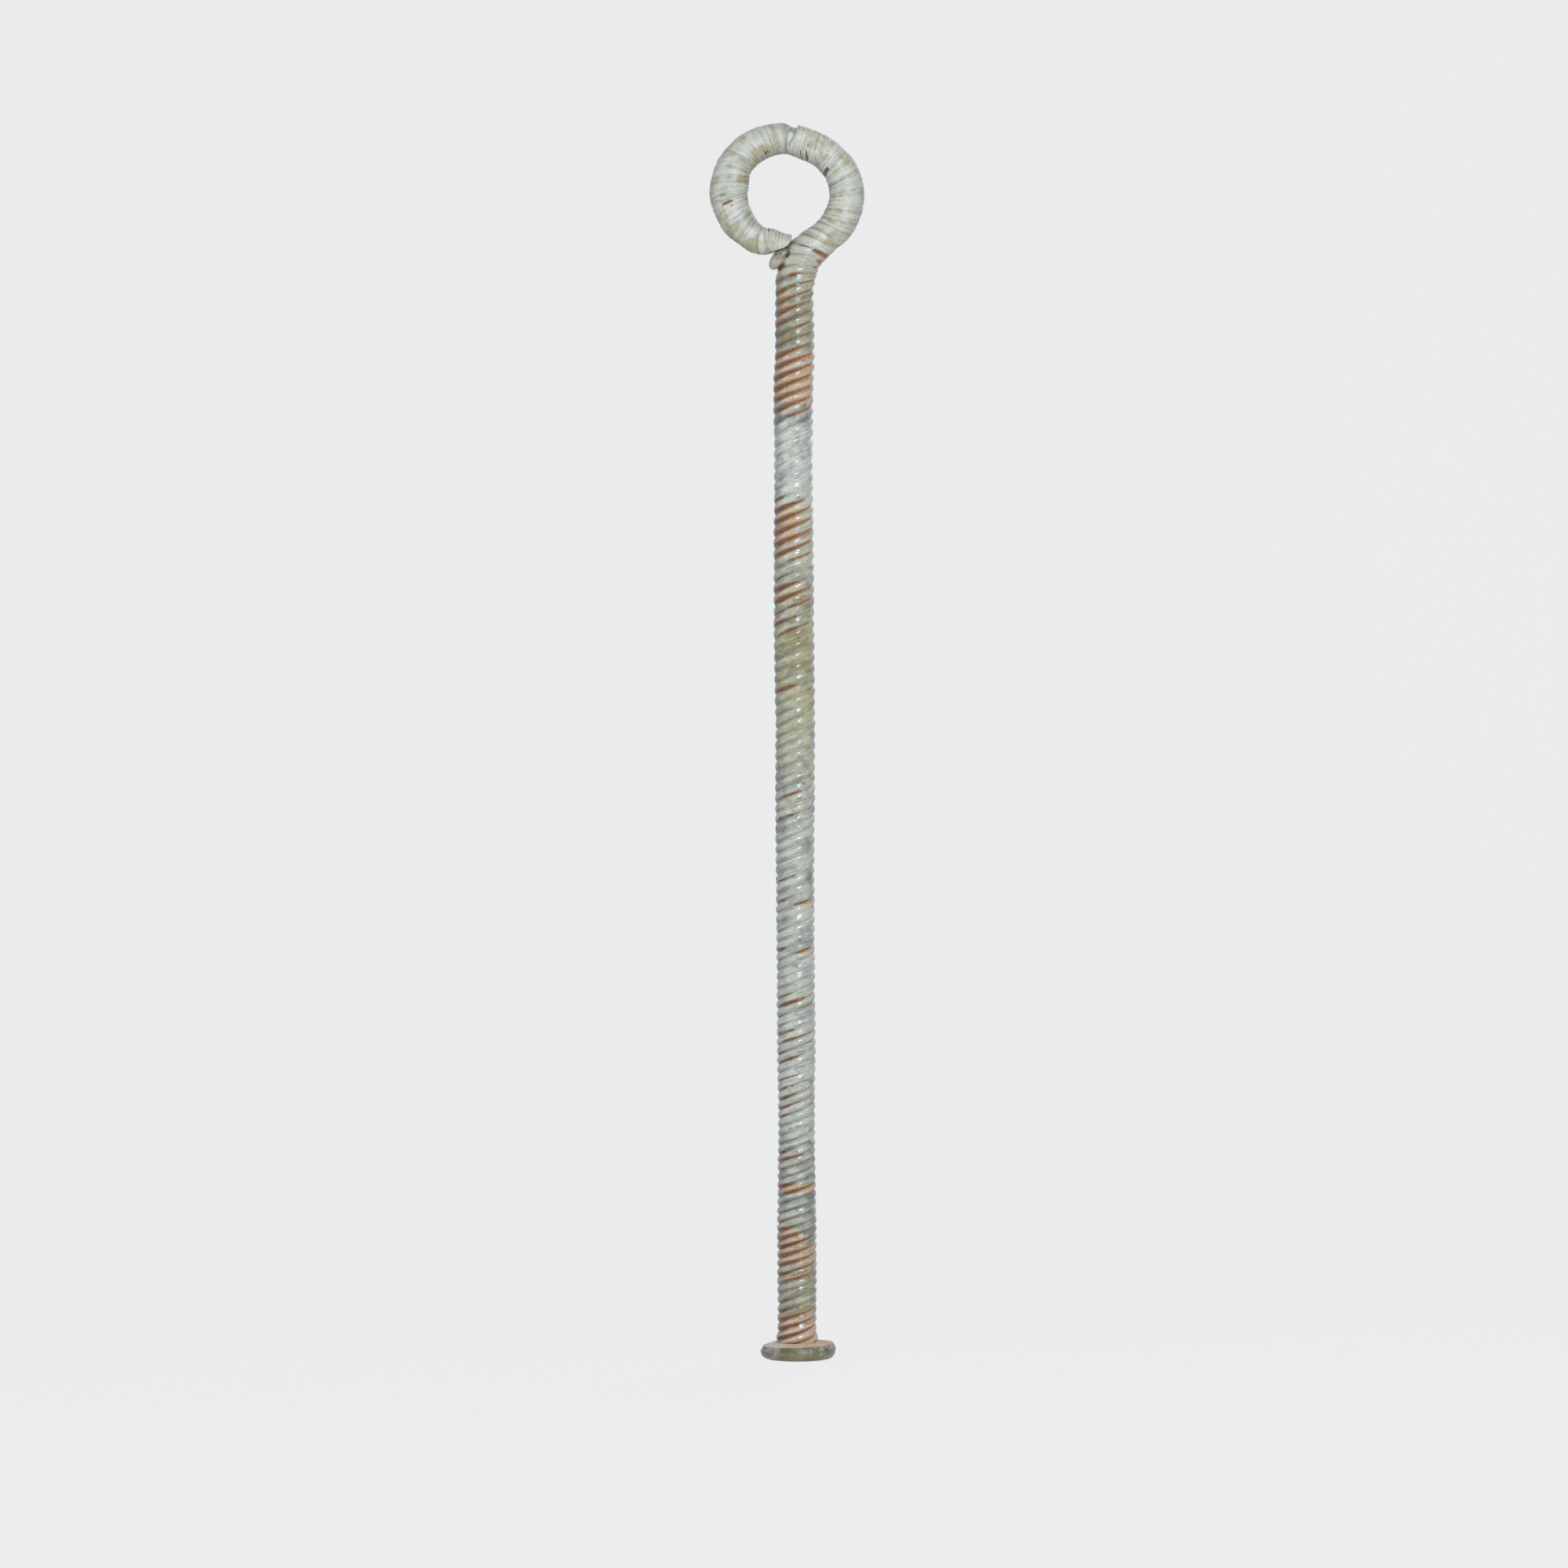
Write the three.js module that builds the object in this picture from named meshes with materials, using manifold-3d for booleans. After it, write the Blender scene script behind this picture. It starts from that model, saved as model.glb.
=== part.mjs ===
// A glass stirring rod: a shaft twisted from one hot gather, drawn round into a finger ring at the top
// and pressed onto a disc foot. The ring broke in three places and is mended. Millimetres, +Z up.
// The origin is on the foot's flat underside, on the shaft's axis, and the ring lies in the XZ plane.
import * as THREE from 'three';
import { mergeVertices } from 'three/addons/utils/BufferGeometryUtils.js';
import Module from 'manifold-3d';

const wasm = await Module();
wasm.setup();

// Disc foot
const footRadius = 6.4;
const footUndersideRadius = 5.35;
const footShoulderRadius = 5.9;
const footWidestHeight = 1.52;
const footShoulderHeight = 2.36;
const footThickness = 2.75;
const footOffset = 0.2;
const footRimSlope = 2.2;
const seatMargin = 0.1;

// Shaft, from the foot's seat to where the neck begins. Diameters are taken over the ribs, and the
// stations are shares of the shaft's length, counted from the foot.
const shaftLength = 178.75;
const shaftDiameters = [
  [0, 7.25], [0.015, 6.65], [0.1, 6.75], [0.2, 6.3], [0.295, 6.6], [0.385, 6.55],
  [0.545, 6.8], [0.695, 6.95], [0.85, 6.6], [0.92, 6.89], [1, 6.58],
];

// Slow drift of the shaft's line to the right of its axis, at shares of its length
const shaftDrifts = [
  [0, 0], [0.27, 0.04], [0.47, -0.05], [0.59, 0.07], [0.67, -0.07], [0.89, -0.07], [0.95, 0.23], [1, 0.23],
];

// Twist: four right-handed ribs, with the height from rib to rib at shares of the shaft's length.
const ribStarts = 4;
const ribSpacings = [
  [0, 1.575], [0.152, 1.46], [0.264, 1.565], [0.376, 1.62], [0.488, 1.745],
  [0.6, 1.87], [0.712, 1.945], [0.852, 1.875], [1, 1.795],
];
const ringRibSpacing = 1.5;
const firstRibShare = -1.6;
const shaftGrooveDepth = 0.28;
const ringGrooveDepth = 0.07;

// Neck: the S-bend from the shaft's end out to where the ring begins, a little fatter in its middle
const neckRise = 9.0;
const neckReach = 5.27;
const neckLowerPull = 5.5;
const neckUpperPull = 3.6;
const neckBulge = 0.6;

// Ring: angles in degrees about the hole's centre, anticlockwise from +X, seen from the front.
// The hole's radius is a mean and what each stretch adds to it, and the glass has its own thickness.
const ringStart = -50;
const holeRadius = 6.83;
const holeUnevenness = [
  [-50, 0], [-28, 0.08], [0, 0.36], [20, 0.25], [40, -0.1], [68, -0.45], [95, 0.08], [150, 0.36],
  [170, -0.1], [205, -0.22], [236, 0.05], [251, -0.42], [276, 0.12],
];
const ringThicknesses = [
  [-50, 5.65], [-25, 6.05], [0, 5.92], [60, 5.45], [95, 5.3], [140, 5.78],
  [175, 6.56], [205, 6.0], [230, 4.9], [250, 4.55], [276, 4.4],
];
const ringFlatness = 0.94;

// The loop's end laps in front of the neck: how far forward the glass lies, by ring angle
const ringForwards = [[195, 0], [265, 0.8], [276, 0.85]];

// Breaks in the ring, each with its place on the inner edge, in the middle and on the outer edge.
const topBreakRightFace = [87.9, 83.4, 82.9];
const topBreakLeftFace = [89.1, 91.0, 83.9];
const sideBreakAngle = 185.8;
const slantBreakAngle = 272.5;
const slantBreakDepth = 2.2;
const slantBreakSlope = 15.5;
const lowerEndFace = [275.5, 269.1, 249.4];
const mendGap = 0.3;
const glueClearance = 0.05;
const glueInset = 0.12;
const topFillReach = 11.2;

// Chip off the outer corner of the upper piece at the top break, along a plane that falls to the right
const chipAngle = 85;
const chipReach = 11.16;
const chipSlope = 32.7;

// Tail: the loop's rounded end, pressed against the neck and snapped off along the slanting break.
const tailHalfLength = 2.7;
const tailHalfWidth = 1.3;
const tailHalfDepth = 2.1;
const tailLean = 44.5;
const tailAlongBreak = 1.84;
const tailBelowBreak = 1.15;
const tailForward = 0.6;
const seamGap = 0.25;

// Fineness of the faceted surfaces
const columnsPerRib = 3;
const footSegments = 40;
const rimSteps = 4;
const tailSegments = 18;
const tailRings = 12;
const pathStep = 0.05;
const headingStep = 1;
const cutterSize = 40;
const breakOverlap = 8;
const sectorShares = [-0.2, 0, 0.2, 0.4, 0.6, 0.8, 1, 1.2];
const weldDistance = 1e-4;

const degrees = THREE.MathUtils.degToRad;

// Value at x between stations [place, value], eased in and out at each station.
function between(stations, x) {
  const last = stations.length - 1;
  const clamped = THREE.MathUtils.clamp(x, stations[0][0], stations[last][0]);
  const upper = Math.max(1, stations.findIndex(([place]) => place >= clamped));
  const [fromPlace, fromValue] = stations[upper - 1];
  const [toPlace, toValue] = stations[upper];
  const share = (clamped - fromPlace) / (toPlace - fromPlace);
  return THREE.MathUtils.lerp(fromValue, toValue, share * share * (3 - 2 * share));
}

// Ring, in polar form about its centre
const ringThickness = (angle) => between(ringThicknesses, angle);
const holeRadiusAt = (angle) => holeRadius + between(holeUnevenness, angle);
const ringLineRadius = (angle) => holeRadiusAt(angle) + ringThickness(angle) / 2;

const shaftTop = footThickness + shaftLength;
const ringCentre = new THREE.Vector3(
  neckReach - ringLineRadius(ringStart) * Math.cos(degrees(ringStart)),
  0,
  shaftTop + neckRise - ringLineRadius(ringStart) * Math.sin(degrees(ringStart)),
);

function ringPoint(angle, radius) {
  const turn = degrees(angle);
  return new THREE.Vector3(Math.cos(turn), 0, Math.sin(turn)).multiplyScalar(radius).add(ringCentre);
}

const ringLine = (angle) => ringPoint(angle, ringLineRadius(angle));
const ringHeading = (angle) => ringLine(angle + headingStep).sub(ringLine(angle - headingStep)).normalize();

// Neck: a cubic that leaves the shaft straight up and joins the ring along the ring's own line.
const neckStart = new THREE.Vector3(shaftDrifts.at(-1)[1], 0, shaftTop);
const neckEnd = ringLine(ringStart);
const neck = new THREE.CubicBezierCurve3(
  neckStart,
  neckStart.clone().add(new THREE.Vector3(0, 0, neckLowerPull)),
  neckEnd.clone().addScaledVector(ringHeading(ringStart), -neckUpperPull),
  neckEnd,
);
const neckLength = neck.getLength();

// The rod's whole line, by the distance gone along it from the seat. Ring angles turn into distances
// with the ring's mean radius.
const ringMeanRadius = holeRadius + ringThickness(0) / 2;
const distanceAt = (angle) => shaftLength + neckLength + degrees(angle - ringStart) * ringMeanRadius;
const angleAt = (distance) => ringStart
  + THREE.MathUtils.radToDeg((distance - shaftLength - neckLength) / ringMeanRadius);

// Centre line, heading, size and groove depth at a distance along the rod
function stationAt(distance) {
  if (distance <= shaftLength) {
    const share = distance / shaftLength;
    return {
      centre: new THREE.Vector3(between(shaftDrifts, share), 0, footThickness + distance),
      heading: new THREE.Vector3(0, 0, 1),
      thickness: between(shaftDiameters, share),
      flatness: 1,
      groove: shaftGrooveDepth,
    };
  }
  const share = Math.min(1, (distance - shaftLength) / neckLength);
  if (share < 1) {
    const evenThickness = THREE.MathUtils.lerp(shaftDiameters.at(-1)[1], ringThickness(ringStart), share);
    return {
      centre: neck.getPointAt(share),
      heading: neck.getTangentAt(share),
      thickness: evenThickness + neckBulge * Math.sin(Math.PI * share),
      flatness: THREE.MathUtils.lerp(1, ringFlatness, share),
      groove: THREE.MathUtils.lerp(shaftGrooveDepth, ringGrooveDepth, share),
    };
  }
  const angle = angleAt(distance);
  return {
    centre: ringLine(angle).setY(-between(ringForwards, angle)),
    heading: ringHeading(angle),
    thickness: ringThickness(angle),
    flatness: ringFlatness,
    groove: ringGrooveDepth,
  };
}

// Ribs counted along the rod: the twist turns by one rib for each rib spacing gone.
function ribSpacingAt(distance) {
  const share = distance / shaftLength;
  return share < 1 ? between(ribSpacings, share) : ringRibSpacing;
}
const rodEnd = distanceAt(holeUnevenness.at(-1)[0]);
const ribCounts = [firstRibShare];
for (let distance = 0; distance < rodEnd + pathStep; distance += pathStep) {
  ribCounts.push(ribCounts.at(-1) + pathStep / ribSpacingAt(distance + pathStep / 2));
}
function ribsGone(distance) {
  const index = Math.min(Math.floor(distance / pathStep), ribCounts.length - 2);
  return THREE.MathUtils.lerp(ribCounts[index], ribCounts[index + 1], distance / pathStep - index);
}

// Distances from one end to the other, a step apart each time the twist has gone on by one column
function rowsBetween(from, to) {
  const rows = [from];
  const firstCount = ribsGone(from);
  for (let distance = from; distance < to; distance += pathStep) {
    if (ribsGone(distance) - firstCount >= rows.length / columnsPerRib) rows.push(distance);
  }
  const lastStep = to - rows.at(-1);
  if (rows.length > 1 && lastStep < ringRibSpacing / columnsPerRib / 2) rows.pop();
  rows.push(to);
  return rows;
}

// Points round the rod at a distance along it, anticlockwise about the way ahead: each rib has a groove
// point and two shoulders, turned by the twist. The section is a little flat on the ring.
function sectionAt(distance, inset, grooved) {
  const { centre, heading, thickness, flatness, groove } = stationAt(distance);
  const columns = ribStarts * columnsPerRib;
  const side = new THREE.Vector3(heading.z, 0, -heading.x);
  const points = [];
  for (let column = 0; column < columns; column += 1) {
    const turn = 2 * Math.PI * ((ribsGone(distance) - 0.5) / ribStarts + column / columns);
    const depth = inset + (grooved && column % columnsPerRib === 0 ? groove : 0);
    const across = (thickness / 2 - depth) * Math.cos(turn);
    const through = (thickness * flatness / 2 - depth) * Math.sin(turn);
    points.push(centre.clone().addScaledVector(side, across).add(new THREE.Vector3(0, through, 0)));
  }
  return points;
}

// Closed tube through rows of points, each row running anticlockwise about the way ahead. The short
// diagonal of each face is the one along the rod.
function closedTube(rows, capCentres) {
  const columns = rows[0].length;
  const positions = rows.flat().concat(capCentres).flatMap((point) => point.toArray());
  const indices = [];
  for (let row = 0; row < rows.length - 1; row += 1) {
    for (let column = 0; column < columns; column += 1) {
      const here = row * columns + column;
      const beside = row * columns + (column + 1) % columns;
      indices.push(here, beside, here + columns);
      indices.push(beside, beside + columns, here + columns);
    }
  }
  const startCap = rows.length * columns;
  const lastRow = startCap - columns;
  for (let column = 0; column < columns; column += 1) {
    const next = (column + 1) % columns;
    indices.push(startCap, next, column);
    indices.push(startCap + 1, lastRow + column, lastRow + next);
  }
  const geometry = new THREE.BufferGeometry();
  geometry.setAttribute('position', new THREE.Float32BufferAttribute(positions, 3));
  geometry.setIndex(indices);
  geometry.computeVertexNormals();
  return geometry;
}

// Stretch of the rod between two distances along it, with square ends. An inset makes it thinner.
function stretch(from, to, { inset = 0, grooved = true } = {}) {
  const rows = rowsBetween(from, to).map((distance) => sectionAt(distance, inset, grooved));
  return closedTube(rows, [stationAt(from).centre, stationAt(to).centre]);
}

// Booleans
function toSolid(geometry) {
  const bare = geometry.clone();
  bare.deleteAttribute('normal');
  bare.deleteAttribute('uv');
  const merged = mergeVertices(bare, weldDistance);
  return new wasm.Manifold(new wasm.Mesh({
    numProp: 3,
    vertProperties: new Float32Array(merged.attributes.position.array),
    triVerts: new Uint32Array(merged.index.array),
  }));
}

function toGeometry(solid) {
  const mesh = solid.getMesh();
  const geometry = new THREE.BufferGeometry();
  geometry.setAttribute('position', new THREE.BufferAttribute(mesh.vertProperties, 3));
  geometry.setIndex(new THREE.BufferAttribute(mesh.triVerts, 1));
  geometry.computeVertexNormals();
  return geometry;
}

// Face of the top break: the ring angle at each share across the glass, from the inner edge to the
// outer one, as a curve through the face's three places. A shift in millimetres moves it round.
function brokenFace([inner, middle, outer], shift = 0) {
  const bow = 4 * (middle - (inner + outer) / 2);
  const turn = THREE.MathUtils.radToDeg(shift / ringMeanRadius);
  return (anyShare) => {
    const share = THREE.MathUtils.clamp(anyShare, 0, 1);
    return inner + (outer - inner) * share + bow * share * (1 - share) + turn;
  };
}

// Everything on the ring between two faces, as a prism through it
function ringSector(startFace, endFace) {
  const place = (face, share) => {
    const angle = face(share);
    return ringPoint(angle, holeRadiusAt(angle) + share * ringThickness(angle));
  };
  const outline = [
    ...sectorShares.map((share) => place(startFace, share)),
    ...sectorShares.toReversed().map((share) => place(endFace, share)),
  ];
  const shape = new THREE.Shape(outline.map((point) => new THREE.Vector2(point.x, point.z)));
  const prism = new THREE.ExtrudeGeometry(shape, { depth: cutterSize, bevelEnabled: false });
  prism.rotateX(Math.PI / 2);
  prism.translate(0, cutterSize / 2, 0);
  return toSolid(prism);
}

// Twisted rod: shaft, neck and the ring's right side in one piece of glass
function makeTwistedRod() {
  const beyond = Math.max(...topBreakRightFace) + breakOverlap;
  const whole = toSolid(stretch(0, distanceAt(beyond)));
  return toGeometry(whole.subtract(ringSector(brokenFace(topBreakRightFace), () => beyond + breakOverlap)));
}

// Block that holds all between two heights over a plane through a place in the ring's plane. The plane
// slopes up to the right, in degrees.
function slopingBlock(place, slope, low, high) {
  const block = new THREE.BoxGeometry(cutterSize, cutterSize, high - low);
  block.translate(0, 0, (low + high) / 2);
  block.rotateY(-degrees(slope));
  block.translate(place.x, place.y, place.z);
  return toSolid(block);
}

// Upper left of the ring, from the top break to the side break, with the chipped corner
function makeRingUpperPiece() {
  const before = Math.min(...topBreakLeftFace) - breakOverlap;
  const whole = toSolid(stretch(distanceAt(before), distanceAt(sideBreakAngle) - mendGap / 2));
  const broken = whole.subtract(ringSector(() => before - breakOverlap, brokenFace(topBreakLeftFace)));
  return toGeometry(broken.subtract(slopingBlock(ringPoint(chipAngle, chipReach), -chipSlope, 0, cutterSize)));
}

// The neck and the ends of what it joins, fatter by the seam, as what its neighbours are cut back to
function makeNeckKeepOut() {
  const from = shaftLength - neckLength;
  const to = distanceAt(ringStart) + neckLength;
  return toSolid(stretch(from, to, { inset: -seamGap, grooved: false }));
}

// The slanting break: the thin end of the lower piece, and blocks that hold all above or below a
// plane through it.
const slantBreakEnd = ringPoint(slantBreakAngle, holeRadiusAt(slantBreakAngle) + slantBreakDepth);
const slantBlock = (low, high) => slopingBlock(slantBreakEnd, slantBreakSlope, low, high);

// Lower left of the ring, thinning to the slanting break beside the neck, with a rounded end
function makeRingLowerPiece(keepOut) {
  const start = distanceAt(sideBreakAngle) + mendGap / 2;
  const beyond = Math.max(...lowerEndFace) + breakOverlap;
  const whole = toSolid(stretch(start, rodEnd));
  const rounded = whole.subtract(ringSector(brokenFace(lowerEndFace), () => beyond));
  return toGeometry(rounded.subtract(slantBlock(-cutterSize, 0)).subtract(keepOut));
}

// Rounded end of the loop: an ellipsoid leaning along the neck, before it is cut by the break
function makeTailBody(inset) {
  const body = new THREE.SphereGeometry(1, tailSegments, tailRings);
  body.scale(tailHalfWidth - inset, tailHalfDepth - inset, tailHalfLength - inset);
  body.rotateY(degrees(tailLean));
  const centre = new THREE.Vector3(-tailAlongBreak, -tailForward, -tailBelowBreak);
  centre.applyAxisAngle(new THREE.Vector3(0, 1, 0), -degrees(slantBreakSlope));
  centre.add(slantBreakEnd);
  body.translate(centre.x, centre.y, centre.z);
  return toSolid(body);
}

function makeLoopTail(keepOut) {
  return toGeometry(makeTailBody(0).subtract(slantBlock(-mendGap, cutterSize)).subtract(keepOut));
}

// Mends: a clear fill in the top break's missing flake, and adhesive in the two close breaks. The fill
// stops short of the ring's outside, where it leaves a notch.
function makeTopBreakFill() {
  const from = distanceAt(Math.min(...topBreakRightFace) - breakOverlap);
  const to = distanceAt(Math.max(...topBreakLeftFace) + breakOverlap);
  const whole = toSolid(stretch(from, to, { inset: glueInset, grooved: false }));
  const start = brokenFace(topBreakRightFace, glueClearance);
  const flake = whole.intersect(ringSector(start, brokenFace(topBreakLeftFace, -glueClearance)));
  const within = new THREE.CylinderGeometry(topFillReach, topFillReach, cutterSize, footSegments * 2);
  within.translate(ringCentre.x, 0, ringCentre.z);
  return toGeometry(flake.intersect(toSolid(within)));
}

function makeSideBreakGlue() {
  const middle = distanceAt(sideBreakAngle);
  const half = mendGap / 2 - glueClearance;
  return stretch(middle - half, middle + half, { inset: glueInset });
}

function makeTailBreakGlue(keepOut) {
  const layer = slantBlock(glueClearance - mendGap, -glueClearance);
  return toGeometry(makeTailBody(glueInset).intersect(layer).subtract(keepOut));
}

// Disc foot: a lathed pad with a flat underside, a rounded lower edge, a crisp bevel above it and a flat
// seat. Its rim stands a little out of square, higher on the right, which fades out at the underside and
// at the seat.
function makeDiscFoot() {
  const seatRadius = shaftDiameters[0][1] / 2 + seatMargin;
  const profile = [new THREE.Vector2(0, 0), new THREE.Vector2(footUndersideRadius, 0)];
  for (let step = 1; step <= rimSteps; step += 1) {
    const turn = step / rimSteps * Math.PI / 2;
    const radius = footUndersideRadius + (footRadius - footUndersideRadius) * Math.sin(turn);
    profile.push(new THREE.Vector2(radius, footWidestHeight * (1 - Math.cos(turn))));
  }
  profile.push(
    new THREE.Vector2(footShoulderRadius, footShoulderHeight),
    new THREE.Vector2(seatRadius, footThickness),
    new THREE.Vector2(0, footThickness),
  );
  const disc = new THREE.LatheGeometry(profile, footSegments);
  disc.rotateX(Math.PI / 2);
  const position = disc.attributes.position;
  for (let index = 0; index < position.count; index += 1) {
    const x = position.getX(index);
    const z = position.getZ(index);
    const radius = Math.hypot(x, position.getY(index));
    const outward = THREE.MathUtils.smoothstep(radius, seatRadius, footShoulderRadius);
    const upward = THREE.MathUtils.smoothstep(z, 0, footWidestHeight);
    position.setX(index, x + footOffset * outward);
    position.setZ(index, z + x * Math.tan(degrees(footRimSlope)) * outward * upward);
  }
  disc.computeVertexNormals();
  return disc;
}

// Materials
const weatheredGlass = new THREE.MeshStandardMaterial({ color: 0xaab5a8, roughness: 0.32, metalness: 0 });
const ringGlass = new THREE.MeshStandardMaterial({ color: 0xb8c6c0, roughness: 0.42, metalness: 0 });
const clearGlass = new THREE.MeshStandardMaterial({ color: 0x9aa39a, roughness: 0.15, metalness: 0 });
const footGlass = new THREE.MeshStandardMaterial({ color: 0x8a9478, roughness: 0.35, metalness: 0 });
const clearResin = new THREE.MeshStandardMaterial({ color: 0xc9d3d0, roughness: 0.2, metalness: 0 });

const rod = new THREE.Group();
function add(name, geometry, material) {
  const mesh = new THREE.Mesh(geometry, material);
  mesh.name = name;
  rod.add(mesh);
}

const neckKeepOut = makeNeckKeepOut();
add('disc_foot', makeDiscFoot(), footGlass);
add('twisted_rod', makeTwistedRod(), weatheredGlass);
add('ring_upper_piece', makeRingUpperPiece(), ringGlass);
add('ring_lower_piece', makeRingLowerPiece(neckKeepOut), ringGlass);
add('loop_tail', makeLoopTail(neckKeepOut), clearGlass);
add('top_break_fill', makeTopBreakFill(), clearResin);
add('side_break_glue', makeSideBreakGlue(), clearResin);
add('tail_break_glue', makeTailBreakGlue(neckKeepOut), clearResin);

export default rod;
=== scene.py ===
import math

import bpy
import numpy as np
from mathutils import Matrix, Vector


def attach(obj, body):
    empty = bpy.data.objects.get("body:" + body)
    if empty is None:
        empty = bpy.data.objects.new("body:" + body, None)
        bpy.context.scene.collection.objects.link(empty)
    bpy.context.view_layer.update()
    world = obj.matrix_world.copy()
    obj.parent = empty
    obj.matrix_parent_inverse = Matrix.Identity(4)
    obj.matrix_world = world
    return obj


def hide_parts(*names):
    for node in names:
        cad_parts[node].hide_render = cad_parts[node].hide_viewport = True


# A weathered glass rod: twisted shaft, finger ring broken and mended, disc foot. Metres, +Z up. The
# rod's line and sizes are worked out in millimetres and turned to metres as each mesh is made.
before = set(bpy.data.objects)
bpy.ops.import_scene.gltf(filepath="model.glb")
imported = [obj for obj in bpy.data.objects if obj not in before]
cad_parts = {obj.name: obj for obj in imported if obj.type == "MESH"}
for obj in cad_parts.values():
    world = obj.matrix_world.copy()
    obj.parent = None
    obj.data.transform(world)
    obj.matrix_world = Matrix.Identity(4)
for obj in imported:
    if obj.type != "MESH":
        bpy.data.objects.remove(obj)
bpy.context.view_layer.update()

MM = 0.001

# Photograph's framing: image size, real size of a pixel at the rod, and the pixels the camera looks along
IMAGE_PIXELS = 1932
PIXEL = 0.210 / 1521
FOOT_ROW = 1673
AXIS_COLUMN = 979.56
FOCAL_PIXELS = 5650
LEAN = math.radians(0.212)
SENSOR = 36

# Rod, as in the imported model
FOOT_THICKNESS = 2.75
SHAFT_LENGTH = 178.75
RIBS = 4
FIRST_RIB_SHARE = -1.6
SHAFT_DIAMETERS = (
    (0, 7.25), (0.015, 6.65), (0.1, 6.75), (0.2, 6.3), (0.295, 6.6), (0.385, 6.55),
    (0.545, 6.8), (0.695, 6.95), (0.85, 6.6), (0.92, 6.89), (1, 6.58),
)
SHAFT_DRIFTS = (
    (0, 0), (0.27, 0.04), (0.47, -0.05), (0.59, 0.07), (0.67, -0.07), (0.89, -0.07), (0.95, 0.23), (1, 0.23),
)
RIB_SPACINGS = (
    (0, 1.575), (0.152, 1.46), (0.264, 1.565), (0.376, 1.62), (0.488, 1.745),
    (0.6, 1.87), (0.712, 1.945), (0.852, 1.875), (1, 1.795),
)
SHAFT_GROOVE = 0.4
RING_GROOVE = 0.1
# How much farther the painted shade of a groove reaches up its walls at the rod's left than in the middle
GROOVE_SHADE_LEAN = 0.3

NECK_RISE = 9.0
NECK_REACH = 5.27
NECK_LOWER_PULL = 5.5
NECK_UPPER_PULL = 3.6
NECK_BULGE = 0.6

RING_START = -50
RING_END = 276
HOLE_RADIUS = 6.83
HOLE_UNEVENNESS = (
    (-50, 0), (-28, 0.08), (0, 0.36), (20, 0.25), (40, -0.1), (68, -0.45), (95, 0.08), (150, 0.36),
    (170, -0.1), (205, -0.22), (236, 0.05), (251, -0.42), (276, 0.12),
)
RING_THICKNESSES = (
    (-50, 5.65), (-25, 6.05), (0, 5.92), (60, 5.45), (95, 5.3), (140, 5.78),
    (175, 6.56), (205, 6.0), (230, 4.9), (250, 4.55), (276, 4.4),
)
RING_FLATNESS = 0.94
RING_FORWARDS = ((195, 0), (265, 0.8), (276, 0.85))
# Height of a rib along the ring's line, by ring angle: the striae crowd at the top and the sides
RING_RIB_SPACINGS = (
    (-50, 1.7), (-30, 1.15), (0, 0.7), (90, 0.5), (130, 0.6), (160, 1.1), (200, 0.6), (276, 0.6),
)

TOP_BREAK_RIGHT = (87.9, 83.4, 82.9)
TOP_BREAK_LEFT = (89.1, 91.0, 83.9)
TOP_FILL_REACH = 11.2
CHIP_ANGLE = 85
CHIP_REACH = 11.16
CHIP_SLOPE = math.radians(-32.7)
SIDE_BREAK_ANGLE = 185.8
SLANT_BREAK_ANGLE = 272.5
SLANT_BREAK_DEPTH = 2.2
SLANT_BREAK_SLOPE = math.radians(15.5)
LOWER_END = (275.5, 269.1, 249.4)
MEND_GAP = 0.06
GLUE_INSET = 0.06

TAIL_HALF_SIZES = (1.3, 2.1, 2.7)
TAIL_LEAN = math.radians(44.5)
TAIL_ALONG_BREAK = 1.84
TAIL_BELOW_BREAK = 1.15
TAIL_FORWARD = 0.6

FOOT_RADIUS = 6.4
FOOT_UNDERSIDE_RADIUS = 5.35
FOOT_SHOULDER_RADIUS = 5.9
FOOT_WIDEST_HEIGHT = 1.52
FOOT_SHOULDER_HEIGHT = 2.36
FOOT_OFFSET = 0.2
FOOT_RIM_SLOPE = math.radians(2.2)
SEAT_MARGIN = 0.1
FLOOR_GAP = 0.05

# Soil that fills the grooves and covers whole ribs: height and half height in millimetres, strength, and
# the side it favours
SOIL_ZONES = (
    (178.9, 5.2, 0.25, -0.9), (166.3, 4.3, 1.02, -0.1), (140.8, 4.6, 1.1, -0.9), (130.2, 2.6, 0.75, -0.6),
    (125.0, 2.4, 0.55, -0.7), (113.9, 0.8, 0.6, -0.8), (94.5, 3.9, 0.35, -0.4), (81.7, 0.7, 0.6, -0.4),
    (77.5, 0.6, 0.75, 0.8), (69.4, 0.6, 0.65, 0), (60.8, 1.4, 0.55, -0.4), (55.2, 1.6, 0.55, -0.5),
    (51.1, 1.0, 0.5, -0.5), (43.9, 4.1, 0.45, -0.5), (34.4, 0.8, 0.6, -1), (29.0, 0.8, 0.9, 0),
    (20.9, 1.8, 0.75, -0.8), (18.0, 2.2, 1.1, -0.7), (14.2, 0.7, 0.8, -0.6), (5.2, 2.6, 1.05, 0),
)

# How olive the glass is, by height: the cleanest stretches are aqua grey
OLIVE_TONES = (
    (2, 0.5), (12, 0.5), (19, 0.35), (28, 0.15), (45, 0.1), (60, 0.1), (72, 0.05), (86, 0.1), (96, 0.25),
    (104, 0.5), (111, 0.7), (120, 0.75), (134, 0.4), (143, 0.15), (149, 0), (160, 0), (166, 0.4), (174, 0.6),
    (183, 0.5), (188, 0.35),
)

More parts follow.
